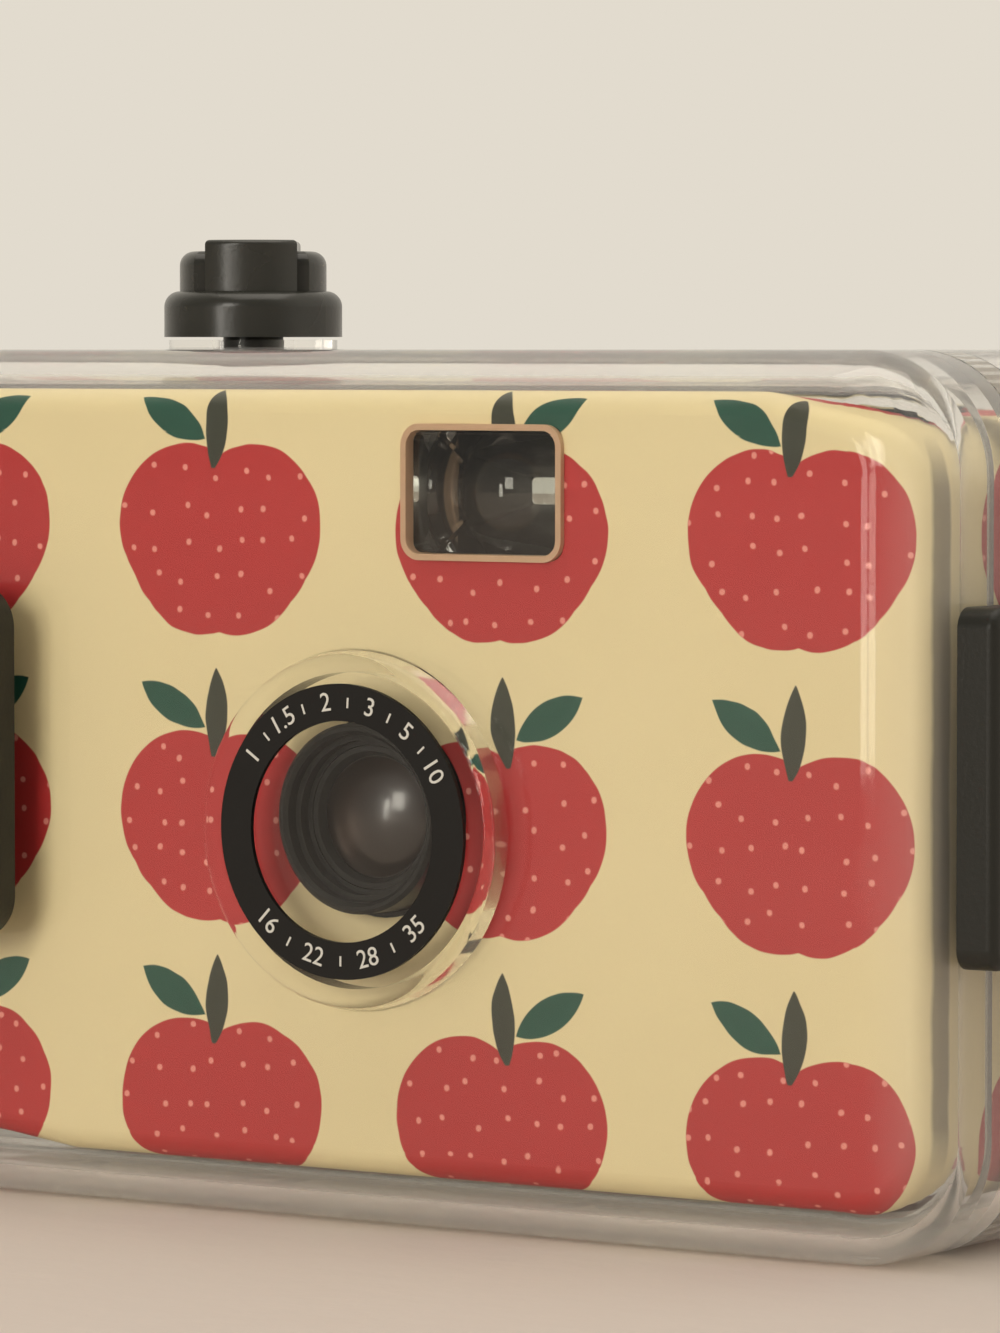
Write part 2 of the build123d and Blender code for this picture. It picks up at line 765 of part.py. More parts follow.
# Printed film wrapped over the front and sides of the cover
wrap_back_y = camera_split - wrap_margin
with BuildPart() as print_wrap:
    with BuildSketch(facing_front(wrap_back_y)):
        camera_outline(-wrap_thickness)
    extrude(amount=wrap_back_y - camera_front + wrap_thickness)
    fillet(print_wrap.faces().sort_by(Axis.Y)[0].edges(), camera_edge + wrap_thickness)
    with BuildPart(mode=Mode.SUBTRACT):
        with BuildSketch(facing_front(wrap_back_y)):
            camera_outline()
        extrude(amount=wrap_back_y - camera_front)
        fillet(faces().sort_by(Axis.Y)[0].edges(), camera_edge)
    with BuildSketch(facing_front(camera_front + 1)):
        with Locations((lens_x, lens_z)):
            Circle(barrel_radius + 0.5)
        with Locations((finder_x, finder_z)):
            RectangleRounded(finder_hole_width + 0.2, finder_hole_height + 0.2, finder_corner)
    extrude(amount=2, mode=Mode.SUBTRACT)
    with BuildSketch(level(camera_top - left_drop - 3)):
        with Locations((knob_x, knob_y)):
            Circle(clip_radius + 0.9)
        with Locations((button_x, button_y)):
            Circle(button_radius + 0.5)
        with Locations((counter_x, counter_window_y)):
            RectangleRounded(counter_window_width + 1.4, counter_window_depth + 1.4, 1.2)
        with Locations((cassette_x, cassette_y)):
            Circle(crank_recess_radius + 0.3)
    extrude(amount=left_drop + 4, mode=Mode.SUBTRACT)
save(print_wrap, "print_wrap")

# Hinged back of the camera
eyepiece_width = 9.0
eyepiece_height = 6.4
film_window_x = 38.0
film_window_z = 30.0
film_window_width = 6.0
film_window_height = 22.0
wheel_slot_half = sqrt(wheel_radius**2 - (camera_split - knob_y) ** 2) + 0.6

with BuildPart() as camera_back:
    with BuildSketch(facing_front(camera_rear)):
        camera_outline()
    extrude(amount=camera_rear - camera_split - rest_gap)
    fillet(camera_back.faces().sort_by(Axis.Y)[-1].edges(), 2.0)
    with BuildSketch(facing_front(camera_rear - camera_wall)):
        camera_outline(camera_wall)
    extrude(amount=camera_rear - camera_split, mode=Mode.SUBTRACT)
    with BuildSketch(facing_front(camera_rear + 1)):
        with Locations((finder_x, finder_z)):
            RectangleRounded(eyepiece_width, eyepiece_height, 1.2)
        with Locations((film_window_x, film_window_z)):
            RectangleRounded(film_window_width, film_window_height, 2.0)
    extrude(amount=camera_wall + 2, mode=Mode.SUBTRACT)
    with BuildSketch(level(wheel_z - 0.4)):
        with Locations((knob_x, camera_split)):
            Rectangle(2 * wheel_slot_half, 12, align=(Align.CENTER, Align.CENTER))
    extrude(amount=wheel_thickness + 0.8, mode=Mode.SUBTRACT)
save(camera_back, "camera_back")

# Clear window that shows the film cassette
with BuildPart() as film_window:
    with BuildSketch(facing_front(camera_rear)):
        with Locations((film_window_x, film_window_z)):
            RectangleRounded(
                film_window_width - 2 * rest_gap, film_window_height - 2 * rest_gap,
                2.0 - rest_gap,
            )
    extrude(amount=camera_wall)
save(film_window, "film_window")

# Lens: all its round pieces are turned about the lens axis
lens_section = Plane(origin=(lens_x, 0, lens_z), x_dir=(1, 0, 0), z_dir=(0, 0, 1))
lens_axis = Axis((lens_x, 0, lens_z), (0, 1, 0))
barrel_depth = 3.8
lens_bulge = 1.5
barrel_front_y = port_inner_y + 0.4
barrel_flange_y = cover_inner_y + rest_gap
barrel_flange_radius = 10.0
barrel_flange_thickness = 1.2
barrel_rear_y = camera_front + barrel_depth
lens_radius = 5.7
front_lens_y = barrel_front_y + 3.2
front_lens_thickness = 2.4
aperture_thickness = 0.3
aperture_radius = 1.6
rear_lens_thickness = 1.0
aperture_y = front_lens_y + front_lens_thickness + rest_gap
rear_lens_y = aperture_y + aperture_thickness + rest_gap
barrel_lip_y = rear_lens_y + rear_lens_thickness + rest_gap

with BuildPart() as lens_barrel:
    with BuildSketch(lens_section):
        with BuildLine():
            Polyline(
                (barrel_radius, barrel_flange_y),
                (barrel_flange_radius, barrel_flange_y),
                (barrel_flange_radius, barrel_flange_y + barrel_flange_thickness),
                (barrel_radius, barrel_flange_y + barrel_flange_thickness),
                (barrel_radius, barrel_rear_y),
                (lens_radius - 1.0, barrel_rear_y),
                (lens_radius - 1.0, barrel_lip_y),
                (lens_radius, barrel_lip_y),
                (lens_radius, front_lens_y - 0.9),
                (lens_radius + 0.4, front_lens_y - 0.9),
                (lens_radius + 0.4, front_lens_y - 1.9),
                (lens_radius + 0.9, front_lens_y - 1.9),
                (lens_radius + 0.9, barrel_front_y + 0.3),
                (lens_radius + 1.2, barrel_front_y),
                (barrel_radius - 0.3, barrel_front_y),
                (barrel_radius, barrel_front_y + 0.3),
                close=True,
            )
        make_face()
    revolve(axis=lens_axis)
save(lens_barrel, "lens_barrel")

with BuildPart() as lens_retainer:
    with BuildSketch(lens_section):
        with BuildLine():
            Polyline(
                (lens_radius - 0.05, front_lens_y - rest_gap),
                (lens_radius - 0.05, front_lens_y - 0.8),
                (lens_radius - 0.5, front_lens_y - 0.8),
                (lens_radius - 0.9, front_lens_y - rest_gap),
                close=True,
            )
        make_face()
    revolve(axis=lens_axis)
save(lens_retainer, "lens_retainer")

lens_edge = lens_radius - 0.95
arc_radius = (lens_edge**2 + lens_bulge**2) / (2 * lens_bulge)
arc_fall = arc_radius - sqrt(arc_radius**2 - lens_edge**2 / 4)
with BuildPart() as front_lens:
    with BuildSketch(lens_section):
        with BuildLine():
            ThreePointArc(
                (0, front_lens_y - lens_bulge),
                (lens_edge / 2, front_lens_y - lens_bulge + arc_fall),
                (lens_edge, front_lens_y),
            )
            Polyline(
                (lens_edge, front_lens_y),
                (lens_radius - 0.05, front_lens_y),
                (lens_radius - 0.05, front_lens_y + front_lens_thickness),
                (0, front_lens_y + front_lens_thickness),
                (0, front_lens_y - lens_bulge),
            )
        make_face()
    revolve(axis=lens_axis)
save(front_lens, "front_lens")

with BuildPart() as aperture_plate:
    with BuildSketch(facing_front(aperture_y + aperture_thickness)):
        with Locations((lens_x, lens_z)):
            Circle(lens_radius - 0.05)
            Circle(aperture_radius, mode=Mode.SUBTRACT)
    extrude(amount=aperture_thickness)
save(aperture_plate, "aperture_plate")

with BuildPart() as rear_lens:
    with BuildSketch(facing_front(rear_lens_y + rear_lens_thickness)):
        with Locations((lens_x, lens_z)):
            Circle(lens_radius - 0.05)
    extrude(amount=rear_lens_thickness)
    fillet(rear_lens.faces().sort_by(Axis.Y)[0].edges(), 0.5)
save(rear_lens, "rear_lens")

# Chassis: light box, cassette chamber and take-up chamber in one black moulding
gear_centres = gear_module * (drive_teeth + spool_teeth) / 2
spool_y = camera_rear - spool_from_rear
spool_x = knob_x - sqrt(gear_centres**2 - (knob_y - spool_y) ** 2)
chassis_half = camera_half - camera_wall - 0.3
chassis_front_y = cover_inner_y + 0.2
chamber_floor_z = chassis_floor_z + 1.5
chamber_top_z = chassis_top_z - 1.5
shutter_room = 30.0
shutter_floor_y = barrel_rear_y + 1.9
finder_floor_z = finder_z - finder_height / 2 - 1.9
finder_tunnel_room = 2.5
counter_post_radius = 1.5
body_screw_places = ((-14.6, 12.0), (20.2, 12.0), (-14.6, 49.5), (20.2, 49.5))
body_screw_head_radius = 1.6
body_screw_head_depth = 1.0
body_screw_radius = 0.8
body_screw_length = 6.0
counter_z = camera_top - camera_wall - 1.4
counter_thickness = 0.8

with BuildPart() as chassis:
    with BuildSketch(level(chassis_floor_z)):
        with Locations((0, chassis_front_y)):
            Rectangle(
                2 * chassis_half, film_y - chassis_front_y, align=(Align.CENTER, Align.MIN)
            )
    extrude(amount=chassis_top_z - chassis_floor_z)
    bottom_edges = chassis.edges().filter_by(Axis.Y).group_by(Axis.Z)[0]
    fillet(bottom_edges, camera_corner - camera_wall - 0.3)
    # Chambers, open at the back
    with BuildSketch(level(chamber_floor_z)):
        with Locations((cassette_x, cassette_y)):
            Circle(cassette_radius)
            Rectangle(
                2 * cassette_radius, film_y - cassette_y + 1, align=(Align.CENTER, Align.MIN)
            )
        with Locations((spool_x, spool_y)):
            Circle(spool_chamber_radius)
            Rectangle(
                2 * spool_chamber_radius, film_y - spool_y + 1,
                align=(Align.CENTER, Align.MIN),
            )
        with Locations((knob_x, knob_y)):
            Circle(sprocket_radius + 1.7)
    extrude(amount=chamber_top_z - chamber_floor_z, mode=Mode.SUBTRACT)
    # Room for the lens barrel and the shutter, then the light box behind it
    with BuildSketch(facing_front(shutter_floor_y)):
        with Locations((lens_x, lens_z)):
            Rectangle(shutter_room, shutter_room)
    extrude(amount=shutter_floor_y - chassis_front_y + 1, mode=Mode.SUBTRACT)
    with BuildSketch(facing_front(film_y + 0.01)):
        with Locations((lens_x, lens_z)):
            Rectangle(frame_width, frame_height)
    with BuildSketch(facing_front(shutter_floor_y + 1)):
        with Locations((lens_x, lens_z)):
            Rectangle(frame_width * 0.35, frame_height * 0.45)
    loft(mode=Mode.SUBTRACT)
    with BuildSketch(facing_front(shutter_floor_y + 1.5)):
        with Locations((lens_x, lens_z)):
            Circle(3.5)
    extrude(amount=3, mode=Mode.SUBTRACT)
    # Gap for the viewfinder tunnel, and bores for the shafts
    with BuildSketch(facing_front(film_y + 1)):
        with Locations((finder_x, finder_floor_z)):
            Rectangle(
                finder_width + 2 * finder_tunnel_room, chassis_top_z,
                align=(Align.CENTER, Align.MIN),
            )
    extrude(amount=film_y - chassis_front_y + 2, mode=Mode.SUBTRACT)
    with BuildSketch(level(chassis_floor_z + 0.6)):
        with Locations((knob_x, knob_y), (spool_x, spool_y), (cassette_x, cassette_y)):
            Circle(2.0 + running_fit)
    extrude(amount=chassis_top_z, mode=Mode.SUBTRACT)
    # Counterbores for the screws that hold the front cover
    with BuildSketch(facing_front(film_y)):
        with Locations(*body_screw_places):
            Circle(body_screw_head_radius)
    extrude(amount=body_screw_head_depth, mode=Mode.SUBTRACT)
    with BuildSketch(facing_front(film_y)):
        with Locations(*body_screw_places):
            Circle(body_screw_radius)
    extrude(amount=body_screw_length + rest_gap, mode=Mode.SUBTRACT)
    # Post that carries the film counter
    with BuildSketch(level(chassis_top_z - 1)):
        with Locations((counter_x, counter_y)):
            Circle(counter_post_radius + 1)
    extrude(amount=counter_z - rest_gap - chassis_top_z + 1)
    with BuildSketch(level(counter_z - 1)):
        with Locations((counter_x, counter_y)):
            Circle(counter_post_radius - running_fit)
    extrude(amount=counter_thickness + 1.2)
save(chassis, "chassis")

# Pressure plate that holds the film flat, and the leaf spring behind it
plate_width = 44.0
plate_height = 30.0
plate_thickness = 1.0
plate_y = film_y + 0.3
back_inner_y = camera_rear - camera_wall
with BuildPart() as pressure_plate:
    with BuildSketch(facing_front(plate_y + plate_thickness)):
        with Locations((lens_x, lens_z)):
            RectangleRounded(plate_width, plate_height, 2.0)
    extrude(amount=plate_thickness)
save(pressure_plate, "pressure_plate")

spring_reach = 13.0
spring_half_width = 5.0
with BuildPart() as pressure_spring:
    with BuildSketch(lens_section):
        with BuildLine():
            spring_curve = ThreePointArc(
                (-spring_reach, plate_y + plate_thickness + 0.05),
                (0.0, back_inner_y - 0.25),
                (spring_reach, plate_y + plate_thickness + 0.05),
            )
            offset(spring_curve, amount=0.2, side=Side.LEFT)
        make_face()
    extrude(amount=spring_half_width, both=True)
save(pressure_spring, "pressure_spring")

# Shutter blade behind the lens, its pin and its spring
blade_pin_run = 9.5
blade_pin_rise = 8.5
blade_pin_x = lens_x + blade_pin_run
blade_pin_z = lens_z + blade_pin_rise
blade_y = barrel_rear_y + 0.7
with BuildPart() as shutter_blade:
    with BuildSketch(facing_front(blade_y + 0.3)):
        with Locations((lens_x, lens_z)):
            Circle(4.6)
        with Locations((blade_pin_x, blade_pin_z)):
            Circle(2.4)
        Polygon(
            (lens_x - 2.5, lens_z + 3.5),
            (lens_x + 3.5, lens_z - 2.5),
            (blade_pin_x + 1.6, blade_pin_z - 1.6),
            (blade_pin_x - 1.6, blade_pin_z + 1.6),
            align=None,
        )
        with Locations((blade_pin_x, blade_pin_z)):
            Circle(0.9 + running_fit, mode=Mode.SUBTRACT)
    extrude(amount=0.3)
save(shutter_blade, "shutter_blade")

with BuildPart() as shutter_pin:
    with BuildSketch(facing_front(shutter_floor_y)):
        with Locations((blade_pin_x, blade_pin_z)):
            Circle(0.9)
    extrude(amount=shutter_floor_y - blade_y + 0.9)
save(shutter_pin, "shutter_pin")

with BuildPart() as shutter_spring:
    with BuildSketch(facing_front(blade_y - 0.15)):
        with Locations((blade_pin_x, blade_pin_z)):
            Circle(1.6)
            Circle(0.9 + running_fit, mode=Mode.SUBTRACT)
    extrude(amount=0.5)
save(shutter_spring, "shutter_spring")

# Shutter button and its spring
button_flange_z = camera_top - left_drop - 1.2
with BuildPart() as shutter_button:
    with BuildSketch(level(button_flange_z)):
        with Locations((button_x, button_y)):
            Circle(button_radius)
    extrude(amount=button_top_z - button_flange_z)
    fillet(shutter_button.faces().sort_by(Axis.Z)[-1].edges(), 0.5)
    with BuildSketch(level(button_flange_z - 1.6)):
        with Locations((button_x, button_y)):
            Circle(1.1)
    extrude(amount=1.6)
save(shutter_button, "shutter_button")

with BuildPart() as button_spring:
    with BuildSketch(level(chassis_top_z)):
        with Locations((button_x, button_y)):
            Circle(2.1)
            Circle(1.5, mode=Mode.SUBTRACT)
    extrude(amount=button_flange_z - chassis_top_z)
save(button_spring, "button_spring")

# Viewfinder: frame on the front, tunnel and two lenses
bezel_proud = 0.5
tunnel_wall = 0.9
finder_lens_front_y = camera_front + 0.2
finder_lens_back_y = finder_lens_front_y + finder_lens_depth
tunnel_front_y = finder_lens_back_y + 0.1
tunnel_rear_y = back_inner_y - 0.3
with BuildPart() as finder_bezel:
    with BuildSketch(facing_front(camera_front - wrap_thickness)):
        with Locations((finder_x, finder_z)):
            RectangleRounded(
                finder_width + 2 * finder_frame, finder_height + 2 * finder_frame,
                finder_corner + finder_frame,
            )
            RectangleRounded(finder_width, finder_height, finder_corner, mode=Mode.SUBTRACT)
    extrude(amount=bezel_proud)
    with BuildSketch(facing_front(camera_front + camera_wall)):
        with Locations((finder_x, finder_z)):
            RectangleRounded(
                finder_hole_width - 2 * rest_gap, finder_hole_height - 2 * rest_gap,
                finder_corner,
            )
            RectangleRounded(
                finder_width, finder_height, finder_corner - 0.2, mode=Mode.SUBTRACT
            )
    extrude(amount=camera_wall + wrap_thickness)
save(finder_bezel, "finder_bezel")

# The front lens is flat outside and hollow inside, so that the view looks small and wide
with BuildPart() as finder_front_lens:
    with BuildSketch(facing_front(finder_lens_back_y)):
        with Locations((finder_x, finder_z)):
            RectangleRounded(
                finder_width - 2 * rest_gap, finder_height - 2 * rest_gap, finder_corner - 0.4
            )
    extrude(amount=finder_lens_depth)
    hollow_y = finder_lens_front_y + finder_lens_middle + finder_lens_curve
    with Locations((finder_x, hollow_y, finder_z)):
        Sphere(finder_lens_curve, mode=Mode.SUBTRACT)
save(finder_front_lens, "finder_front_lens")

with BuildPart() as finder_tunnel:
    with BuildSketch(facing_front(tunnel_rear_y)):
        with Locations((finder_x, finder_z)):
            RectangleRounded(
                eyepiece_width + 2 * tunnel_wall, eyepiece_height + 2 * tunnel_wall, 1.5
            )
    with BuildSketch(facing_front(tunnel_front_y)):
        with Locations((finder_x, finder_z)):
            RectangleRounded(finder_width + 2 * tunnel_wall, finder_height + 2 * tunnel_wall, 1.5)
    loft()
    with BuildSketch(facing_front(tunnel_rear_y + 0.01)):
        with Locations((finder_x, finder_z)):
            RectangleRounded(eyepiece_width, eyepiece_height, 0.6)
    with BuildSketch(facing_front(tunnel_front_y - 0.01)):
        with Locations((finder_x, finder_z)):
            RectangleRounded(finder_width, finder_height, 0.6)
    loft(mode=Mode.SUBTRACT)
save(finder_tunnel, "finder_tunnel")

with BuildPart() as eyepiece:
    with BuildSketch(facing_front(camera_rear - 0.2)):
        with Locations((finder_x, finder_z)):
            RectangleRounded(
                eyepiece_width - 2 * rest_gap, eyepiece_height - 2 * rest_gap, 1.2 - rest_gap
            )
    extrude(amount=camera_wall - 0.2)
save(eyepiece, "eyepiece")


def gear_teeth(teeth, phase):
    """Tapered teeth on their root circle, for the sketch in hand, centred by its Locations."""
    pitch_radius = gear_module * teeth / 2
    root_radius = pitch_radius - 1.25 * gear_module
    tip_radius = pitch_radius + 0.85 * gear_module
    Circle(root_radius)
    with PolarLocations(0, teeth, start_angle=phase):
        Polygon(
            (root_radius - 0.4, -0.95 * gear_module),
            (tip_radius, -0.34 * gear_module),
            (tip_radius, 0.34 * gear_module),
            (root_radius - 0.4, 0.95 * gear_module),
            align=None,
        )


mesh_angle = degrees(atan2(spool_y - knob_y, spool_x - knob_x))

# Thumbwheel under the knob, with fine grips and a slot for the knob's blade
grip_count = 60
with BuildPart() as thumbwheel:
    with BuildSketch(level(wheel_z)):
        with Locations((knob_x, knob_y)):
            Circle(wheel_radius)
            with PolarLocations(wheel_radius, grip_count):
                Rectangle(0.5, 0.45, mode=Mode.SUBTRACT)
            Rectangle(blade_length + 0.3, blade_thickness + 0.3, mode=Mode.SUBTRACT)
    extrude(amount=wheel_thickness)
save(thumbwheel, "thumbwheel")

# Sprocket shaft with two rows of film teeth and the drive gear
sprocket_rows = (lens_z - film_height / 2 + 2.0, lens_z + film_height / 2 - 2.0)
with BuildPart() as sprocket:
    with BuildSketch(level(chassis_floor_z + 0.6)):
        with Locations((knob_x, knob_y)):
            Circle(2.0)
    extrude(amount=wheel_z - chassis_floor_z - 0.6)
    for row_z in sprocket_rows:
        with BuildSketch(level(row_z - 2.0)):
            with Locations((knob_x, knob_y)):
                Circle(sprocket_radius)
        extrude(amount=4.0)
        with BuildSketch(level(row_z - 0.6)):
            with Locations((knob_x, knob_y)):
                with PolarLocations(0, sprocket_teeth):
                    Polygon(
                        (sprocket_radius - 0.5, -0.9),
                        (sprocket_radius + 1.2, -0.5),
                        (sprocket_radius + 1.2, 0.5),
                        (sprocket_radius - 0.5, 0.9),
                        align=None,
                    )
        extrude(amount=1.2)
    with BuildSketch(level(gear_z)):
        with Locations((knob_x, knob_y)):
            gear_teeth(drive_teeth, mesh_angle)
    extrude(amount=gear_thickness)
save(sprocket, "sprocket")

# Take-up spool and its gear
with BuildPart() as take_up_spool:
    with BuildSketch(level(chassis_floor_z + 0.6)):
        with Locations((spool_x, spool_y)):
            Circle(2.0)
    extrude(amount=gear_z - chassis_floor_z - 0.6)
    with BuildSketch(level(chamber_floor_z + 0.4)):
        with Locations((spool_x, spool_y)):
            Circle(spool_radius)
            with PolarLocations(spool_radius, 4):
                Rectangle(1.6, 1.2, mode=Mode.SUBTRACT)
    extrude(amount=chamber_top_z - chamber_floor_z - 0.8)
    with BuildSketch(level(gear_z)):
        with Locations((spool_x, spool_y)):
            gear_teeth(spool_teeth, mesh_angle + 180 + 180 / spool_teeth)
    extrude(amount=gear_thickness)
save(take_up_spool, "take_up_spool")

# Rewind crank in its cup, and the fork below it
crank_disc_z = crank_floor_z + 0.3
crank_disc_thickness = 1.2
with BuildPart() as rewind_crank:
    with BuildSketch(level(crank_disc_z)):
        with Locations((cassette_x, cassette_y)):
            Circle(crank_radius)
            with PolarLocations(crank_radius, 24):
                Circle(0.3, mode=Mode.SUBTRACT)
    extrude(amount=crank_disc_thickness)
    with BuildSketch(level(crank_disc_z + crank_disc_thickness - 0.2)):
        with Locations((cassette_x, cassette_y)):
            SlotOverall(2 * crank_radius - 1.0, 3.6, rotation=35)
    extrude(amount=1.0)
    with Locations((cassette_x, cassette_y, crank_disc_z + crank_disc_thickness + 0.8)):
        with Locations(Location((0, 0, 0), (0, 0, 35))):
            with Locations((crank_radius - 2.6, 0, 0)):
                Cylinder(1.3, 0.5, align=(Align.CENTER, Align.CENTER, Align.MIN))
save(rewind_crank, "rewind_crank")

fork_blade_length = 4.0
fork_collar_height = 1.0
fork_blade_width = 3.4
fork_blade_thickness = 1.2
with BuildPart() as rewind_fork:
    with BuildSketch(level(chamber_top_z - fork_blade_length - fork_collar_height)):
        with Locations((cassette_x, cassette_y)):
            Rectangle(fork_blade_thickness, fork_blade_width)
    extrude(amount=fork_blade_length)
    with BuildSketch(level(chamber_top_z - fork_collar_height)):
        with Locations((cassette_x, cassette_y)):
            Circle(fork_radius)
    extrude(amount=crank_disc_z - chamber_top_z + 1.0)
save(rewind_fork, "rewind_fork")

# Film counter dial and the window above it
with BuildPart() as counter_dial:
    with BuildSketch(level(counter_z)):
        with Locations((counter_x, counter_y)):
            Circle(counter_radius)
            Circle(counter_post_radius, mode=Mode.SUBTRACT)
    extrude(amount=counter_thickness)
save(counter_dial, "counter_dial")

with BuildPart() as counter_window:
    with BuildSketch(level(camera_top - 1.0)):
        with Locations((counter_x, counter_window_y)):
            RectangleRounded(
                counter_window_width - 2 * rest_gap, counter_window_depth - 2 * rest_gap, 0.7
            )
    extrude(amount=1.0)
save(counter_window, "counter_window")

# Hinge pin of the camera's back, inside its right edge
back_pin_radius = 0.7
back_pin_length = 36.0
back_pin_x = camera_half - camera_wall - back_pin_radius - 0.2
back_pin_y = film_y + back_pin_radius + 0.2
with BuildPart() as back_hinge_pin:
    with BuildSketch(level(camera_base + camera_corner + 2)):
        with Locations((back_pin_x, back_pin_y)):
            Circle(back_pin_radius)
    extrude(amount=back_pin_length)
save(back_hinge_pin, "back_hinge_pin")

# Screws that hold the front cover to the chassis, driven from behind
with BuildPart() as body_screws:
    with BuildSketch(facing_front(film_y - 0.1)):
        with Locations(*body_screw_places):
            Circle(body_screw_head_radius - rest_gap)
    extrude(amount=body_screw_head_depth - 0.1)
    with BuildSketch(facing_front(film_y - 0.1)):
        with Locations(*body_screw_places):
            Circle(body_screw_radius)
    extrude(amount=body_screw_length)
save(body_screws, "body_screws")
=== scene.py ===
# %% [markdown]
# # Waterproof film camera
# A small film camera with a printed front stands inside a clear case. The solid model already
# has every moving piece at its real place, so this file adds the finishes, the marks and the
# fine pieces, and sets up the light and the camera.

# %% Load the solid model
import json
from math import asin, pi, radians

import bmesh
import bpy
from mathutils import Matrix, Vector


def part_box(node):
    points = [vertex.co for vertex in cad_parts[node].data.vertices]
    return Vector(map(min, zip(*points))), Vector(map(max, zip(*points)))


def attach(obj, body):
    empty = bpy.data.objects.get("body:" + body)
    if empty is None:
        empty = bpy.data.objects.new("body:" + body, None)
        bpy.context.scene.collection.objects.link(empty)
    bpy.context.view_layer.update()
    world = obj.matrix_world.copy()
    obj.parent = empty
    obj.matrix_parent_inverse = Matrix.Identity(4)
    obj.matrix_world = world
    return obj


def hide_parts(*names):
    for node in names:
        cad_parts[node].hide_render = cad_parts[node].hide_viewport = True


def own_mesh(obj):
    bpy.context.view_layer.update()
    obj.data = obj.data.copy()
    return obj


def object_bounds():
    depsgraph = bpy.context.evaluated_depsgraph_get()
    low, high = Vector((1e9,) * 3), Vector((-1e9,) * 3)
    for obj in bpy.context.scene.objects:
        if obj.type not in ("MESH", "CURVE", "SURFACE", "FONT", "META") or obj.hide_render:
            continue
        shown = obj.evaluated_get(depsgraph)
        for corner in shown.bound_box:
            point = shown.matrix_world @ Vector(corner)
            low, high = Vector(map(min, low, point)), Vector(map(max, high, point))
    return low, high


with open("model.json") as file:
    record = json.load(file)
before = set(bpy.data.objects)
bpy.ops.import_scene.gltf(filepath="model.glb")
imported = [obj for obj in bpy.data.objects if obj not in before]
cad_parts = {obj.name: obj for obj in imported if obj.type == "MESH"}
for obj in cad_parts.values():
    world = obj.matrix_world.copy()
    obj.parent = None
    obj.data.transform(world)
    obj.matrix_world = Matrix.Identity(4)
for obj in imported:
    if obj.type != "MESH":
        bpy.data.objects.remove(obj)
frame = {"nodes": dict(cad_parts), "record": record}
solid_low, solid_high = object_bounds()
parts = frame["nodes"]
mm = 0.001
solid_size = [round(side / mm, 1) for side in solid_high - solid_low]
print("solid model:", len(parts), "pieces, size", solid_size, "mm")

# %% [markdown]
# ## View of the photograph
# The photograph was taken at the height of the case's top, from about half a metre, with the
# front turned away by 34 degrees. A long lens at the same distance gives the same mild
# perspective. The sensor is fitted to the picture's height, so that a taller or wider picture
# doesn't change the size of the object.

# %% Camera
turned_away, looks_down = 34, 2.74
view = bpy.data.cameras.new("photo_view")
view.sensor_fit = "VERTICAL"
view.sensor_height = 36
view.lens = 178.8
view.clip_start = 0.01
camera = bpy.data.objects.new("photo_view", view)
camera.location = (0.301, -0.441, 0.0691)
camera.rotation_euler = (radians(90 - looks_down), 0, radians(turned_away))
bpy.context.collection.objects.link(camera)
bpy.context.scene.camera = camera
bpy.context.scene.view_settings.view_transform = "Standard"
print("camera:", round(camera.location.length, 3), "m away")

# %% [markdown]
# ## Room and light
# The case stands on a pale, slightly pink table in front of a warm white wall. The wall is the
# world's own colour, shown to the camera and to reflections, so no backdrop hides the light.
# Reflections and clear plastic show the wall behind the case and a dimmer room in front of it,
# as in a real room, because a bright room in front would lay a pale veil over the print. The
# world lights everything softly, and a wide lamp overhead adds to it. A window-like lamp in
# front, with a small low one before it, gives the bright lines along the case's edges.


# %% Colours as they look in a picture
def paint(red, green, blue):
    """Linear colour of a screen colour that is given as 0 to 255."""
    values = []
    for channel in (red, green, blue):
        share = channel / 255
        values.append(share / 12.92 if share <= 0.04045 else ((share + 0.055) / 1.055) ** 2.4)
    return (*values, 1.0)


# %% World shaders
world = bpy.data.worlds.new("room")
bpy.context.scene.world = world
world.use_nodes = True
room = world.node_tree
room.nodes.clear()


def glow(colour, strength):
    """Background of one colour for the world."""
    node = room.nodes.new("ShaderNodeBackground")
    node.inputs["Color"].default_value = colour
    node.inputs["Strength"].default_value = strength
    return node.outputs[0]


def blended(share, first, second):
    """Mix of two shaders, where a share of 1 shows only the second."""
    node = room.nodes.new("ShaderNodeMixShader")
    room.links.new(share, node.inputs["Fac"])
    room.links.new(first, node.inputs[1])
    room.links.new(second, node.inputs[2])
    return node.outputs[0]


# %% World
soft_light = glow(paint(255, 250, 243), 0.5)
dim_room = glow(paint(255, 247, 236), 0.2)
wall = glow(paint(226, 219, 206), 1.0)
ray = room.nodes.new("ShaderNodeLightPath")
reflected = room.nodes.new("ShaderNodeMath")
reflected.operation = "MAXIMUM"
room.links.new(ray.outputs["Is Glossy Ray"], reflected.inputs[0])
room.links.new(ray.outputs["Is Transmission Ray"], reflected.inputs[1])
direction = room.nodes.new("ShaderNodeSeparateXYZ")
directions = room.nodes.new("ShaderNodeTexCoord")
room.links.new(directions.outputs["Generated"], direction.inputs[0])
room_until, wall_from = -0.5, 0.2
towards_wall = room.nodes.new("ShaderNodeMapRange")
towards_wall.inputs["From Min"].default_value = room_until
towards_wall.inputs["From Max"].default_value = wall_from
room.links.new(direction.outputs["Y"], towards_wall.inputs["Value"])
surroundings = blended(towards_wall.outputs[0], dim_room, wall)
beyond_first = blended(reflected.outputs[0], soft_light, surroundings)
all_seen = blended(ray.outputs["Is Camera Ray"], beyond_first, wall)
world_out = room.nodes.new("ShaderNodeOutputWorld")
room.links.new(all_seen, world_out.inputs["Surface"])
print("world:", len(room.nodes), "nodes")


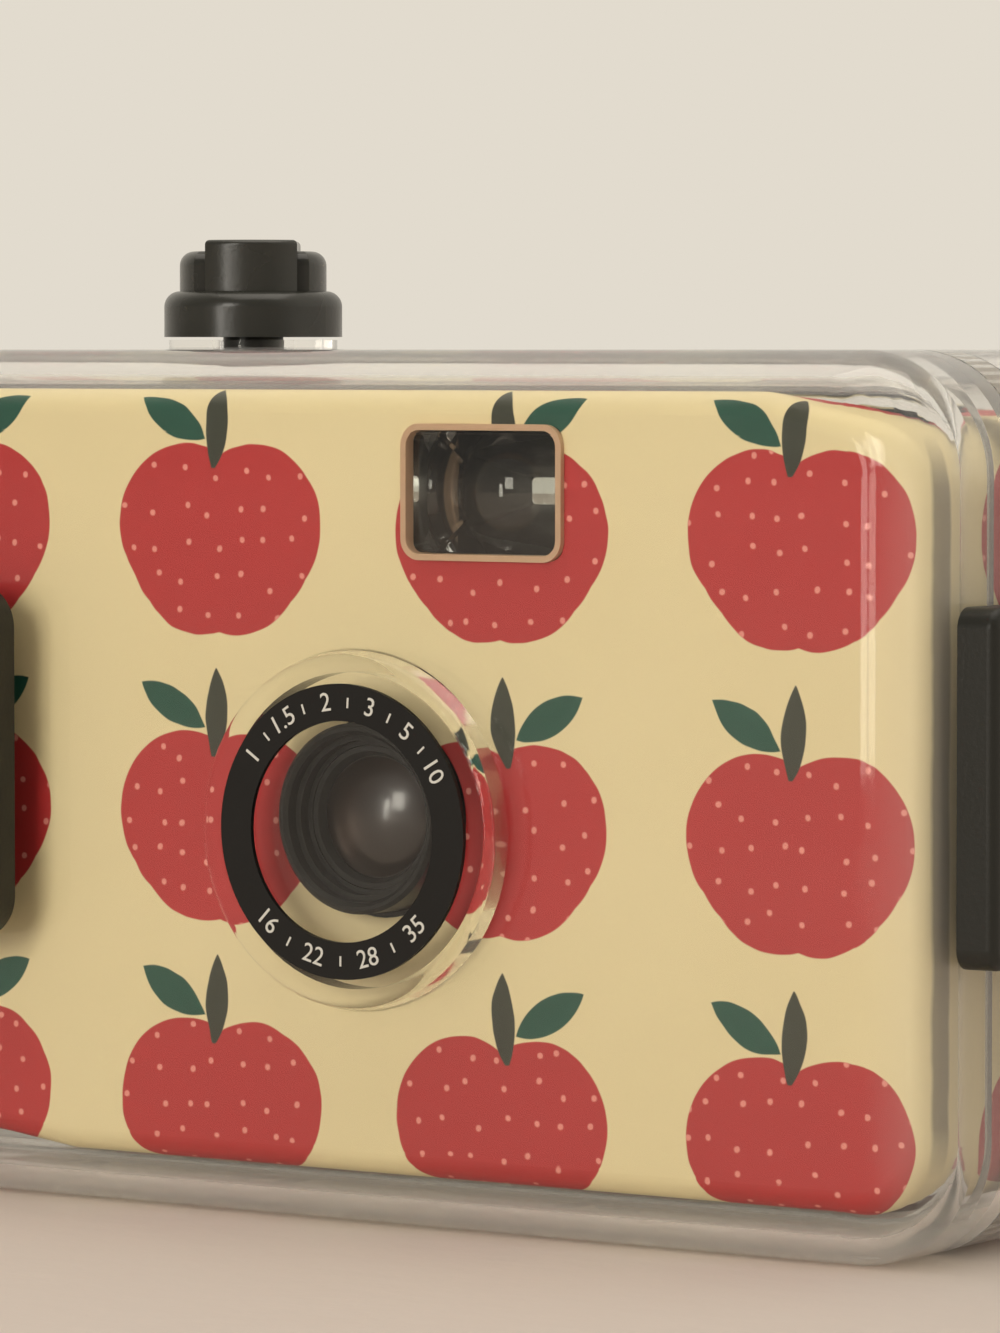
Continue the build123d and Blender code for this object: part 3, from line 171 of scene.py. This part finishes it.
# %% Lamps
def lamp(name, place, target, width, height, power, colour):
    """Rectangular soft lamp at a place, turned towards a target, all in metres."""
    light = bpy.data.lights.new(name, "AREA")
    light.shape = "RECTANGLE"
    light.size, light.size_y = width, height
    light.energy = power
    light.color = colour[:3]
    lit = bpy.data.objects.new(name, light)
    lit.location = place
    lit.rotation_euler = (Vector(target) - Vector(place)).to_track_quat("-Z", "Y").to_euler()
    bpy.context.collection.objects.link(lit)
    print("lamp:", name, power, "W")


middle, near_edge = (0, 0, 0.035), (0.0485, -0.0195, 0.04)
daylight, bounced_light = paint(255, 250, 240), paint(255, 247, 236)
lamp("window", (0.05, -1.25, 0.36), middle, 0.30, 0.40, 2.35, daylight)
lamp("low_window", (-0.074, -0.42, 0.075), near_edge, 0.045, 0.13, 0.13, daylight)
lamp("ceiling", (0.1, -0.1, 1.1), middle, 1.0, 1.0, 4.4, bounced_light)

# %% Table
reach, gap_below = 2.5, 0.05 * mm
table_mesh = bpy.data.meshes.new("table")
table_bm = bmesh.new()
bmesh.ops.create_grid(table_bm, x_segments=1, y_segments=1, size=reach)
bmesh.ops.translate(table_bm, verts=table_bm.verts, vec=(0, 0, -gap_below))
table_bm.to_mesh(table_mesh)
table_bm.free()
table = bpy.data.objects.new("table", table_mesh)
bpy.context.collection.objects.link(table)
print("table:", [round(side, 2) for side in table.dimensions], "m")

# %% [markdown]
# ## Finishes
# Each finish is a Principled shader. Values that are the same all over a surface are set on the
# shader itself, and only what varies, such as grain, comes from textures. The textures read
# Object coordinates in metres, so a scale of 2500 gives grain of about 0.4 mm. The clouds that
# make some spots smoother than others are larger, about 6 mm.


# %% A plain finish
def finish(name, colour, roughness, **values):
    """New material with a Principled shader and plain values on its sockets."""
    material = bpy.data.materials.new(name)
    material.use_nodes = True
    shader = material.node_tree.nodes["Principled BSDF"]
    shader.inputs["Base Color"].default_value = colour
    shader.inputs["Roughness"].default_value = roughness
    for socket, value in values.items():
        shader.inputs[socket.replace("_", " ")].default_value = value
    return material


def own_places(tree):
    """Object coordinates of the piece that is shaded."""
    return tree.nodes.new("ShaderNodeTexCoord").outputs["Object"]


def noise(tree, scale, detail):
    """Noise from 0 to 1 on the piece's own places."""
    node = tree.nodes.new("ShaderNodeTexNoise")
    node.inputs["Scale"].default_value = scale
    node.inputs["Detail"].default_value = detail
    tree.links.new(own_places(tree), node.inputs["Vector"])
    return node.outputs["Fac"]


# %% Grain
def grain(material, scale, depth, roughness=None):
    """Fine bumps, and a roughness that wanders between two values."""
    tree = material.node_tree
    shader = tree.nodes["Principled BSDF"]
    bump = tree.nodes.new("ShaderNodeBump")
    bump.inputs["Distance"].default_value = depth
    bump.inputs["Strength"].default_value = 1.0
    tree.links.new(noise(tree, scale, 3.0), bump.inputs["Height"])
    tree.links.new(bump.outputs["Normal"], shader.inputs["Normal"])
    if roughness:
        spread = tree.nodes.new("ShaderNodeMapRange")
        spread.inputs["From Min"].default_value = 0.3
        spread.inputs["From Max"].default_value = 0.7
        spread.inputs["To Min"].default_value = roughness[0]
        spread.inputs["To Max"].default_value = roughness[1]
        tree.links.new(noise(tree, 160.0, 4.0), spread.inputs["Value"])
        tree.links.new(spread.outputs[0], shader.inputs["Roughness"])


# %% [markdown]
# ### Patterns in a material
# The haze in the case and the print on the film are both worked out from places on the piece,
# with Math nodes. A mask is a number that is 1 inside a shape and 0 outside it. Masks are joined
# with Maximum and cut with Minimum. A small class with short names keeps such a row of nodes
# readable.


# %% Pattern helpers
class Pattern:
    """Short names for the nodes that draw a pattern in one material."""

    def __init__(self, material):
        self.tree = material.node_tree
        self.shader = self.tree.nodes["Principled BSDF"]

    def give(self, value, socket):
        """Sets a plain number or colour on a socket, or links another node's output to it."""
        if isinstance(value, (int, float, tuple)):
            socket.default_value = value
        else:
            self.tree.links.new(value, socket)

    def places(self):
        """The three Object coordinates of the piece, in metres."""
        node = self.tree.nodes.new("ShaderNodeSeparateXYZ")
        self.tree.links.new(own_places(self.tree), node.inputs[0])
        return node.outputs["X"], node.outputs["Y"], node.outputs["Z"]

    def maths(self, operation, *values, clamp=False):
        """Math node on numbers or sockets, held between 0 and 1 if it is clamped."""
        node = self.tree.nodes.new("ShaderNodeMath")
        node.operation = operation
        node.use_clamp = clamp
        for socket, value in zip(node.inputs, values):
            self.give(value, socket)
        return node.outputs[0]

    def fade(self, value, start, end, at_start=0.0, at_end=1.0):
        """Even change from one number to another while a value goes from start to end."""
        node = self.tree.nodes.new("ShaderNodeMapRange")
        node.inputs["From Min"].default_value = start
        node.inputs["From Max"].default_value = end
        node.inputs["To Min"].default_value = at_start
        node.inputs["To Max"].default_value = at_end
        self.tree.links.new(value, node.inputs["Value"])
        return node.outputs[0]

    def flat(self, across, up):
        """Vector of two numbers."""
        node = self.tree.nodes.new("ShaderNodeCombineXYZ")
        self.tree.links.new(across, node.inputs["X"])
        self.tree.links.new(up, node.inputs["Y"])
        return node.outputs[0]

    def disc(self, place, centre, radius, edge=0.1):
        """Mask of a disc, with sizes in millimetres and a soft printed edge."""
        node = self.tree.nodes.new("ShaderNodeVectorMath")
        node.operation = "DISTANCE"
        self.tree.links.new(place, node.inputs[0])
        node.inputs[1].default_value = (*centre, 0)
        inside = self.maths("SUBTRACT", radius, node.outputs["Value"])
        return self.maths("ADD", self.maths("DIVIDE", inside, edge), 0.5, clamp=True)

    def discs(self, operation, place, *sizes):
        """Mask of several discs, joined with Maximum or cut with Minimum."""
        masks = [self.disc(place, centre, radius) for centre, radius in sizes]
        mask = masks[0]
        for other in masks[1:]:
            mask = self.maths(operation, mask, other)
        return mask

    def wrapped(self, place, behind, middle, flat_until, fold_width):
        """A place across the front that runs on along the depth past the fold at either edge."""
        away = self.maths("SUBTRACT", place, middle)
        past = self.maths("SUBTRACT", self.maths("ABSOLUTE", away), flat_until)
        share = self.maths("DIVIDE", past, fold_width, clamp=True)
        depth = self.maths("MULTIPLY", behind, share)
        return self.maths("ADD", place, self.maths("MULTIPLY", depth, self.maths("SIGN", away)))

    def over(self, below, colour, mask):
        """A colour laid over what is below it, where the mask is 1."""
        node = self.tree.nodes.new("ShaderNodeMix")
        node.data_type = "RGBA"
        self.tree.links.new(mask, node.inputs["Factor"])
        self.give(below, node.inputs[6])
        self.give(colour, node.inputs[7])
        return node.outputs[2]


# %% [markdown]
# ### Clear polycarbonate
# The case is moulded in clear plastic with a polished surface. A plain glass shader blocks the
# lamps' light in the renderer, which would leave the camera inside too dark. So rays that look
# for a lamp pass through a Transparent shader, and all others see real refraction. The index is
# lower than polycarbonate's own, because the full one draws hard dark lines in the round rim.


# %% Clear plastic
def clear_finish(name, tint, roughness, index, passed=0.96, gloss=0.5):
    """Glass-like finish that lets the lamps' light through."""
    material = finish(
        name, tint, roughness, Transmission_Weight=1.0, IOR=index, Specular_IOR_Level=gloss
    )
    tree = material.node_tree
    through = tree.nodes.new("ShaderNodeBsdfTransparent")
    through.inputs["Color"].default_value = (passed, passed, passed * 0.99, 1)
    path = tree.nodes.new("ShaderNodeLightPath")
    choose = tree.nodes.new("ShaderNodeMixShader")
    tree.links.new(path.outputs["Is Shadow Ray"], choose.inputs["Fac"])
    tree.links.new(tree.nodes["Principled BSDF"].outputs[0], choose.inputs[1])
    tree.links.new(through.outputs[0], choose.inputs[2])
    tree.links.new(choose.outputs[0], tree.nodes["Material Output"].inputs["Surface"])
    return material


clear_plastic = clear_finish(
    "clear_polycarbonate", paint(253, 252, 249), 0.045, 1.34, gloss=0.9
)
print("clear plastic:", clear_plastic.name)

# %% [markdown]
# ### Haze in the case's rim
# Round the edge of the real case one looks along the moulded wall and not just through it, so
# the rim is paler and hides a little of what is behind it. Here the plastic's transmission falls
# slightly towards both ends, the top and the bottom, and most at the bottom. The boss under the
# winding knob stands above that band and stays clear.

# %% Haze
rim = Pattern(clear_plastic)
rim_x, _, rim_z = rim.places()
boss_foot, boss_clear = solid_high.z - 9.15 * mm, solid_high.z - 8.85 * mm
clearness = rim.fade(rim.maths("ABSOLUTE", rim_x), 49 * mm, 54 * mm, 1.0, 0.93)
for clear_at, hazy_at, least_clear in (
    (64.5 * mm, 68 * mm, 0.88),
    (4.5 * mm, 1 * mm, 0.7),
):
    faded = rim.fade(rim_z, clear_at, hazy_at, 1.0, least_clear)
    clearness = rim.maths("MINIMUM", clearness, faded)
clearness = rim.maths("MAXIMUM", clearness, rim.fade(rim_z, boss_foot, boss_clear))
rim.tree.links.new(clearness, rim.shader.inputs["Transmission Weight"])
print("haze:", len(rim.tree.nodes), "nodes")

# %% [markdown]
# ### Lens and finder glass
# The front lens is a dark, coated glass. Its tint darkens what is behind it, its own surface is
# a little soft, and a smoother coat over it carries the broad highlight. The panes of the finder
# and the small windows are thin, clear and sharp.

# %% Lens and finder glass
lens_glass = clear_finish("lens_glass", paint(124, 104, 92), 0.28, 1.52, 0.5)
lens_shader = lens_glass.node_tree.nodes["Principled BSDF"]
lens_shader.inputs["Coat Weight"].default_value = 0.6
lens_shader.inputs["Coat Roughness"].default_value = 0.1
finder_glass = clear_finish("finder_glass", paint(238, 240, 236), 0.01, 1.7, 0.9)
print("glass:", lens_glass.name, finder_glass.name)

# %% [markdown]
# ### Opaque plastics, rubber, metal and the table
# Moulded plastic is never quite even. Each of these finishes has fine bumps, given by their
# scale and their height in metres, and most have a roughness that wanders between two values.
# The winding knob is the glossiest of the black pieces, and the bumps on the lens barrel are the
# lowest.

# %% Black plastics and rubber
black_plastic = finish("black_plastic", paint(42, 42, 37), 0.38, Specular_IOR_Level=0.3)
grain(black_plastic, 2600, 0.00002, (0.30, 0.44))
lens_black = finish("lens_black", paint(22, 24, 22), 0.42, Specular_IOR_Level=0.3)
grain(lens_black, 1800, 0.000002, (0.36, 0.5))
ring_black = finish("ring_black", paint(22, 21, 19), 0.34, Specular_IOR_Level=0.35)
grain(ring_black, 2600, 0.00001, (0.3, 0.4))
body_plastic = finish("body_plastic", paint(34, 34, 33), 0.5)
grain(body_plastic, 1800, 0.00004, (0.42, 0.58))
knob_plastic = finish("knob_plastic", paint(50, 50, 44), 0.26, Specular_IOR_Level=0.6)
grain(knob_plastic, 2600, 0.000012, (0.22, 0.31))
black_rubber = finish("black_rubber", paint(24, 24, 23), 0.7)
grain(black_rubber, 1500, 0.00003)
print("black finishes: 6")

# %% Pale plastics, silicone, steel, ink and the table
grey_silicone = finish("grey_silicone", paint(168, 161, 148), 0.5, Transmission_Weight=0.3)
grain(grey_silicone, 1500, 0.00002)
steel = finish("steel", paint(176, 174, 170), 0.3, Metallic=1.0)
grain(steel, 3200, 0.000006, (0.24, 0.4))
frame_plastic = finish("frame_plastic", paint(226, 188, 152), 0.34, Transmission_Weight=0.3)
grain(frame_plastic, 2400, 0.000006, (0.28, 0.4))
white_plastic = finish("white_plastic", paint(225, 222, 212), 0.4)
grain(white_plastic, 2400, 0.00001, (0.34, 0.46))
white_ink = finish("white_ink", paint(226, 224, 214), 0.55)
grain(white_ink, 5000, 0.000004, (0.5, 0.62))
table_top = finish("table_top", paint(226, 213, 201), 0.75)
grain(table_top, 260, 0.00012, (0.7, 0.85))
table.data.materials.append(table_top)
print("materials so far:", len(bpy.data.materials))

# %% [markdown]
# ### Printed film
# The camera's front carries a half-glossy film that is printed with rows of red apples on pale
# yellow. The film is bent round the camera's ends and over its top, so the pattern runs on along
# the depth there, and isn't stretched. A slow noise shakes every line by up to 0.3 mm, as in a
# soft print.

# %% Places on the film
film = finish("printed_film", paint(234, 218, 171), 0.52)
draw = Pattern(film)
film_low, film_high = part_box("print_wrap")
film_middle = (film_low + film_high) / 2
film_half = (film_high - film_low) / 2
film_x, film_y, film_z = draw.places()
behind = draw.maths("SUBTRACT", film_y, film_low.y)
end_flat, end_fold = film_half.x - 6 * mm, 4 * mm
top_flat, top_fold = film_half.z - 3 * mm, 2.5 * mm
along = draw.wrapped(film_x, behind, film_middle.x, end_flat, end_fold)
upward = draw.wrapped(film_z, behind, film_middle.z, top_flat, top_fold)
shake = draw.maths("MULTIPLY_ADD", noise(film.node_tree, 220, 2.0), 0.6, -0.3)
across_mm = draw.maths("MULTIPLY_ADD", along, 1000, shake)
up_mm = draw.maths("MULTIPLY_ADD", upward, 1000, shake)
print("film:", [round(2 * half / mm, 1) for half in film_half], "mm")

# %% [markdown]
# The apples stand in a plain grid. Dividing a place by the grid's pitch gives a whole number,
# which is the grid cell, and a rest, which is the place inside that cell. Every second column is
# mirrored. In its cell an apple is six discs joined together, and the leaf and the stem are what
# two or three discs have in common.

# %% Grid
column_pitch, row_pitch = 27.0, 23.0
column_shift, row_shift = -1.0, 1.5
column = draw.maths("DIVIDE", draw.maths("ADD", across_mm, column_shift), column_pitch)
row = draw.maths("DIVIDE", draw.maths("ADD", up_mm, row_shift), row_pitch)
column_rest = draw.maths("SUBTRACT", draw.maths("FRACT", column), 0.5)
row_rest = draw.maths("SUBTRACT", draw.maths("FRACT", row), 0.5)
odd = draw.maths("FLOORED_MODULO", draw.maths("FLOOR", column), 2)
facing = draw.maths("MULTIPLY_ADD", odd, -2, 1)
cell_across = draw.maths("MULTIPLY", draw.maths("MULTIPLY", column_rest, column_pitch), facing)
cell = draw.flat(cell_across, draw.maths("MULTIPLY", row_rest, row_pitch))
print("grid:", column_pitch, "x", row_pitch, "mm")

# %% Apple, leaf and stem
apple = draw.discs(
    "MAXIMUM", cell, ((-3.4, -0.9), 6.5), ((3.4, -0.9), 6.5), ((-2.6, -2.0), 6.55),
    ((2.6, -2.0), 6.55), ((-1.7, -3.2), 6.4), ((1.7, -3.2), 6.4),
)
leaf = draw.discs("MINIMUM", cell, ((6.6, 4.2), 5.4), ((2.6, 11.2), 5.4))
stem = draw.discs("MINIMUM", cell, ((-7.2, 6.6), 8.6), ((5.4, 7.4), 6.2), ((0.5, 7.2), 3.6))
print("print so far:", len(draw.tree.nodes), "nodes")

# %% [markdown]
# Pale specks lie on the red skin. A Voronoi texture gives the distance to the nearest of many
# scattered points, so a small distance is a speck. Its randomness is only about half, because
# printed specks keep apart. A broad noise varies each colour slightly, as ink does.

# %% Specks and colours
speck_radius, speck_sharpness = 0.09, 24
speckle = draw.tree.nodes.new("ShaderNodeTexVoronoi")
speckle.voronoi_dimensions = "2D"
speckle.inputs["Scale"].default_value = 0.36
speckle.inputs["Randomness"].default_value = 0.55
draw.tree.links.new(draw.flat(across_mm, up_mm), speckle.inputs["Vector"])
speck = draw.maths("SUBTRACT", speck_radius, speckle.outputs["Distance"])
speck = draw.maths("MULTIPLY_ADD", speck, speck_sharpness, 0.5, clamp=True)
speck = draw.maths("MULTIPLY", speck, apple)
blotch = noise(draw.tree, 45, 2.0)
yellow = draw.over(paint(236, 221, 175), paint(231, 215, 167), blotch)
red = draw.over(paint(190, 44, 44), paint(178, 40, 42), blotch)
printed = draw.over(yellow, red, apple)
printed = draw.over(printed, paint(232, 146, 134), speck)
printed = draw.over(printed, paint(18, 78, 62), leaf)
printed = draw.over(printed, paint(52, 56, 42), stem)
print("with specks and colours:", len(draw.tree.nodes), "nodes")

# %% [markdown]
# Where the film bends round an end, a narrow band of painted shade darkens the print. The band
# runs up the fold and fades out before the top and the bottom edge.

# %% Painted shade at the fold
fold_at, fold_slope, fold_peak, fold_shade_strength = 54.2, -2.2, 3.1, 0.7
clear_of_edge, edge_fade = 3 * mm, 4 * mm
from_fold = draw.maths("SUBTRACT", draw.maths("ABSOLUTE", across_mm), fold_at)
from_fold = draw.maths("ABSOLUTE", from_fold)
fold = draw.maths("MULTIPLY_ADD", from_fold, fold_slope, fold_peak, clamp=True)
from_middle = draw.maths("ABSOLUTE", draw.maths("SUBTRACT", film_z, film_middle.z))
to_edge = draw.maths("SUBTRACT", film_half.z - clear_of_edge, from_middle)
tall = draw.maths("DIVIDE", to_edge, edge_fade, clamp=True)
fold_shade = draw.maths("MULTIPLY", draw.maths("MULTIPLY", fold, tall), fold_shade_strength)
# Painted shade: a dark grey-brown band laid over the print along each fold.
printed = draw.over(printed, paint(92, 82, 70), fold_shade)
draw.tree.links.new(printed, draw.shader.inputs["Base Color"])
print("whole print:", len(draw.tree.nodes), "nodes")

# %% [markdown]
# ### Finishes on the solid pieces
# The model's record names a finish for every solid piece, and each piece gets the material for
# that name. A few have a finish of their own: the finder's panes and the small windows are
# clearer than the lens, the pieces round the lens and the port's ring are darker than the other
# black plastic, and the winding knob is glossier.

# %% Finishes on the solid pieces
finishes = {
    "clear_polycarbonate": clear_plastic,
    "black_plastic": black_plastic,
    "steel": steel,
    "black_rubber": black_rubber,
    "printed_film": film,
    "body_plastic": body_plastic,
    "lens_glass": lens_glass,
    "grey_silicone": grey_silicone,
    "silver_frame": frame_plastic,
    "dial_plastic": white_plastic,
}
own_finishes = {"port_ring": ring_black, "winding_knob": knob_plastic}
for name in ("finder_front_lens", "eyepiece", "film_window", "counter_window"):
    own_finishes[name] = finder_glass
for name in ("lens_barrel", "lens_retainer", "aperture_plate", "shutter_blade"):
    own_finishes[name] = lens_black
slot_of = {row["node"]: row["material_slot"] for row in frame["record"]["subparts"]}
for name, piece in parts.items():
    material = own_finishes.get(name, finishes[slot_of[name]])
    if piece.data.materials:
        piece.data.materials[0] = material
    else:
        piece.data.materials.append(material)
print("finishes given to", len(parts), "pieces")

# %% [markdown]
# ### Front lens
# The lens is a small domed glass. Even small facets would show in its highlight, so it is made
# again here with a finer, smoothly shaded surface. One corner point is spun round the dome's
# centre, which draws the arc, then pulled out to the rim and back. Spinning that profile round
# the lens's own axis gives the solid.


# %% Helpers for new pieces
def smooth_curves(shape, sharpest=30):
    """Smooth shading, with edges sharper than an angle in degrees kept crisp."""
    for face in shape.faces:
        face.smooth = True
    for edge in shape.edges:
        edge.smooth = edge.calc_face_angle(0) < radians(sharpest)


def piece_of(shape, name, material):
    """Object with a finished bmesh as its mesh and one finish."""
    mesh = bpy.data.meshes.new(name)
    shape.to_mesh(mesh)
    shape.free()
    mesh.materials.append(material)
    made = bpy.data.objects.new(name, mesh)
    bpy.context.collection.objects.link(made)
    return made


# %% Lens profile
lens_low, lens_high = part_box("front_lens")
lens_x, lens_z = (lens_low.x + lens_high.x) / 2, (lens_low.z + lens_high.z) / 2
rim_radius = (lens_high.x - lens_low.x) / 2
dome_radius, dome_rise = rim_radius - 0.9 * mm, 1.5 * mm
dome_curve = (dome_radius**2 + dome_rise**2) / (2 * dome_rise)
dome = bmesh.new()
tip = dome.verts.new((lens_x, lens_low.y, lens_z))
arc = bmesh.ops.spin(
    dome, geom=[tip], cent=(lens_x, lens_low.y + dome_curve, lens_z), axis=(0, 0, 1),
    angle=asin(dome_radius / dome_curve), steps=20,
)
corner = arc["geom_last"][0]
for run, depth in (
    (rim_radius - dome_radius, 0), (0, lens_high.y - lens_low.y - dome_rise), (-rim_radius, 0)
):
    pulled = bmesh.ops.extrude_vert_indiv(dome, verts=[corner])
    bmesh.ops.translate(dome, verts=pulled["verts"], vec=(run, depth, 0))
    corner = pulled["verts"][0]
print("profile:", len(dome.verts), "points, dome curve", round(dome_curve / mm, 2), "mm")

# %% Lens solid
bmesh.ops.spin(
    dome, geom=dome.verts[:] + dome.edges[:], cent=(lens_x, 0, lens_z), axis=(0, 1, 0),
    angle=2 * pi, steps=96, use_merge=True,
)
bmesh.ops.remove_doubles(dome, verts=dome.verts, dist=1e-6)
bmesh.ops.recalc_face_normals(dome, faces=dome.faces)
smooth_curves(dome)
domed_lens = piece_of(dome, "domed_lens", lens_glass)
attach(domed_lens, "root")
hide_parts("front_lens")
lens_size = [round((high - low) / mm, 2) for low, high in zip(lens_low, lens_high)]
print("lens:", len(domed_lens.data.polygons), "faces, solid", lens_size, "mm")
print("lens now:", [round(side / mm, 2) for side in domed_lens.dimensions], "mm")

# %% [markdown]
# ### Numbers on the port ring
# The black ring in front of the lens carries small white distance numbers along its upper and
# lower arcs, with tick marks between them. Each number is a text object that is turned into a
# mesh, centred, and then turned round the ring's axis, so that every one stands upright on its
# own radius.


# %% Helpers for marks
def turn(shape, degrees, axis):
    """Turns a whole bmesh round one of the main axes."""
    turned = Matrix.Rotation(radians(degrees), 3, axis)
    bmesh.ops.rotate(shape, verts=shape.verts, cent=(0, 0, 0), matrix=turned)


def shift(shape, *by):
    """Moves a whole bmesh."""
    bmesh.ops.translate(shape, verts=shape.verts, vec=by)


def flat_mark(words, height, thickness):
    """Bmesh of centred characters, upright in the XZ plane and facing forwards."""
    digit_share = 0.72
    curve = bpy.data.curves.new("words", "FONT")
    curve.body = words
    curve.size = height / digit_share
    curve.align_x, curve.align_y = "CENTER", "CENTER"
    curve.extrude = thickness / 2
    curve.resolution_u = 3
    holder = bpy.data.objects.new("words", curve)
    bpy.context.collection.objects.link(holder)
    mesh = bpy.data.meshes.new_from_object(holder)
    bpy.data.objects.remove(holder)
    shape = bmesh.new()
    shape.from_mesh(mesh)
    bpy.data.meshes.remove(mesh)
    bmesh.ops.remove_doubles(shape, verts=shape.verts, dist=1e-6)
    turn(shape, 90, "X")
    return shape


def tick_mark(width, height, thickness):
    """Bmesh of a small upright bar, centred."""
    shape = bmesh.new()
    bmesh.ops.create_cube(shape, size=1)
    bmesh.ops.scale(shape, verts=shape.verts, vec=(width, thickness, height))
    return shape


def gather(target, shape):
    """Adds one bmesh to another and frees it."""
    passing = bpy.data.meshes.new("passing")
    shape.to_mesh(passing)
    shape.free()
    target.from_mesh(passing)
    bpy.data.meshes.remove(passing)


# %% Ring marks
ring_low, ring_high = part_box("port_ring")
ring_x, ring_z = (ring_low.x + ring_high.x) / 2, (ring_low.z + ring_high.z) / 2
mark_height, mark_thickness, mark_radius = 1.5 * mm, 0.05 * mm, 10.1 * mm
tick_width, tick_height = 0.16 * mm, 0.8 * mm
upper_numbers = {-56: "1", -33: "1.5", -8: "2", 16: "3", 38: "5", 60: "10"}
lower_numbers = {-44: "16", -15: "22", 15: "28", 44: "35"}
marks = bmesh.new()
for side, numbers in ((1, upper_numbers), (-1, lower_numbers)):
    for angle, words in numbers.items():
        number = flat_mark(words, mark_height, mark_thickness)
        shift(number, 0, 0, side * mark_radius)
        turn(number, side * angle, "Y")
        gather(marks, number)
for angle in (-44.5, -20.5, 4, 27, 49, 150.5, 180, 209.5):
    tick = tick_mark(tick_width, tick_height, mark_thickness)
    shift(tick, 0, 0, mark_radius)
    turn(tick, angle, "Y")
    gather(marks, tick)
shift(marks, ring_x, ring_low.y - mark_thickness / 2, ring_z)
ring_marks = piece_of(marks, "ring_marks", white_ink)
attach(ring_marks, "cover")
print("ring marks:", len(ring_marks.data.polygons), "faces")

# %% [markdown]
# ### Numbers on the film counter
# The counter's dial sits under a small window in the camera's top. Its numbers lie flat on the
# dial and are read from behind the camera.

# %% Counter numbers
dial_low, dial_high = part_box("counter_dial")
dial_x, dial_y = (dial_low.x + dial_high.x) / 2, (dial_low.y + dial_high.y) / 2
count_height, count_thickness, count_radius = 1.5 * mm, 0.03 * mm, 6.2 * mm
counts = bmesh.new()
for step, words in enumerate(("0", "5", "10", "15", "20", "25", "30", "36")):
    number = flat_mark(words, count_height, count_thickness)
    turn(number, -90, "X")
    shift(number, 0, -count_radius, 0)
    turn(number, -45 * step, "Z")
    gather(counts, number)
shift(counts, dial_x, dial_y, dial_high.z)
counter_numbers = piece_of(counts, "counter_numbers", black_plastic)
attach(counter_numbers, "counter")
print("counter numbers:", len(counter_numbers.data.polygons), "faces")

# %% [markdown]
# ### Coil under the shutter button
# A small wire spring pushes the button up again. It is a wire's round section that is spun
# several turns round the button's axis and rises a little at each step. Its foot stands on the
# body.

# %% Button coil
coil_low, coil_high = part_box("button_spring")
wire_radius, coil_turns, steps_per_turn = 0.22 * mm, 4, 24
coil_radius = (coil_high.x - coil_low.x) / 2 - wire_radius
coil_rise = coil_high.z - coil_low.z - 2 * wire_radius
coil_steps = coil_turns * steps_per_turn
coil = bmesh.new()
bmesh.ops.create_circle(coil, cap_ends=False, radius=wire_radius, segments=10)
turn(coil, 90, "X")
shift(coil, coil_radius, 0, coil_low.z + wire_radius)
bmesh.ops.spin(
    coil, geom=coil.verts[:] + coil.edges[:], cent=(0, 0, 0), axis=(0, 0, 1),
    dvec=(0, 0, coil_rise / coil_steps), angle=2 * pi * coil_turns, steps=coil_steps,
)
open_ends = [edge for edge in coil.edges if edge.is_boundary]
bmesh.ops.holes_fill(coil, edges=open_ends, sides=0)
bmesh.ops.recalc_face_normals(coil, faces=coil.faces)
shift(coil, (coil_low.x + coil_high.x) / 2, (coil_low.y + coil_high.y) / 2, 0)
smooth_curves(coil, 60)
button_coil = piece_of(coil, "button_coil", steel)
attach(button_coil, "root")
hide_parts("button_spring")
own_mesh(button_coil)
print("coil:", [round(side / mm, 2) for side in button_coil.dimensions], "mm")

# %% [markdown]
# ### Grip bars on the camera's back
# Where the thumb rests beside the thumbwheel, the back has a row of low bars. One bar is a cube
# that is stretched. The four edges that stand out from the back are rounded first, which rounds
# the bar's outline, and then the rim of its outer face. The bar is repeated along the row.


# %% One grip bar
def grip_bar(width, height, rise, corner_round, rim_round):
    """Bmesh of one bar, centred, with its outer face towards +Y."""
    bar = bmesh.new()
    bmesh.ops.create_cube(bar, size=1)
    bmesh.ops.scale(bar, verts=bar.verts, vec=(width, 2 * rise, height))
    standing = [
        edge for edge in bar.edges if abs(edge.verts[0].co.y - edge.verts[1].co.y) > rise
    ]
    bmesh.ops.bevel(
        bar, geom=standing, offset=corner_round, affect="EDGES", segments=3, profile=0.5,
        material=-1,
    )
    outer = [edge for edge in bar.edges if min(vert.co.y for vert in edge.verts) > rise * 0.9]
    bmesh.ops.bevel(
        bar, geom=outer, offset=rim_round, affect="EDGES", segments=2, profile=0.5, material=-1
    )
    return bar


# %% Grip bars
back_low, back_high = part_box("camera_back")
bar_count, bar_pitch = 9, 1.9 * mm
first_x, middle_z = back_low.x + 15.5 * mm, back_low.z + 30 * mm
bars = bmesh.new()
for index in range(bar_count):
    bar = grip_bar(0.9 * mm, 15 * mm, 0.5 * mm, corner_round=0.4 * mm, rim_round=0.15 * mm)
    shift(bar, first_x + index * bar_pitch, back_high.y, middle_z)
    gather(bars, bar)
smooth_curves(bars)
grip_bars = piece_of(bars, "grip_bars", body_plastic)
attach(grip_bars, "root")
print("grip bars:", len(grip_bars.data.polygons), "faces")
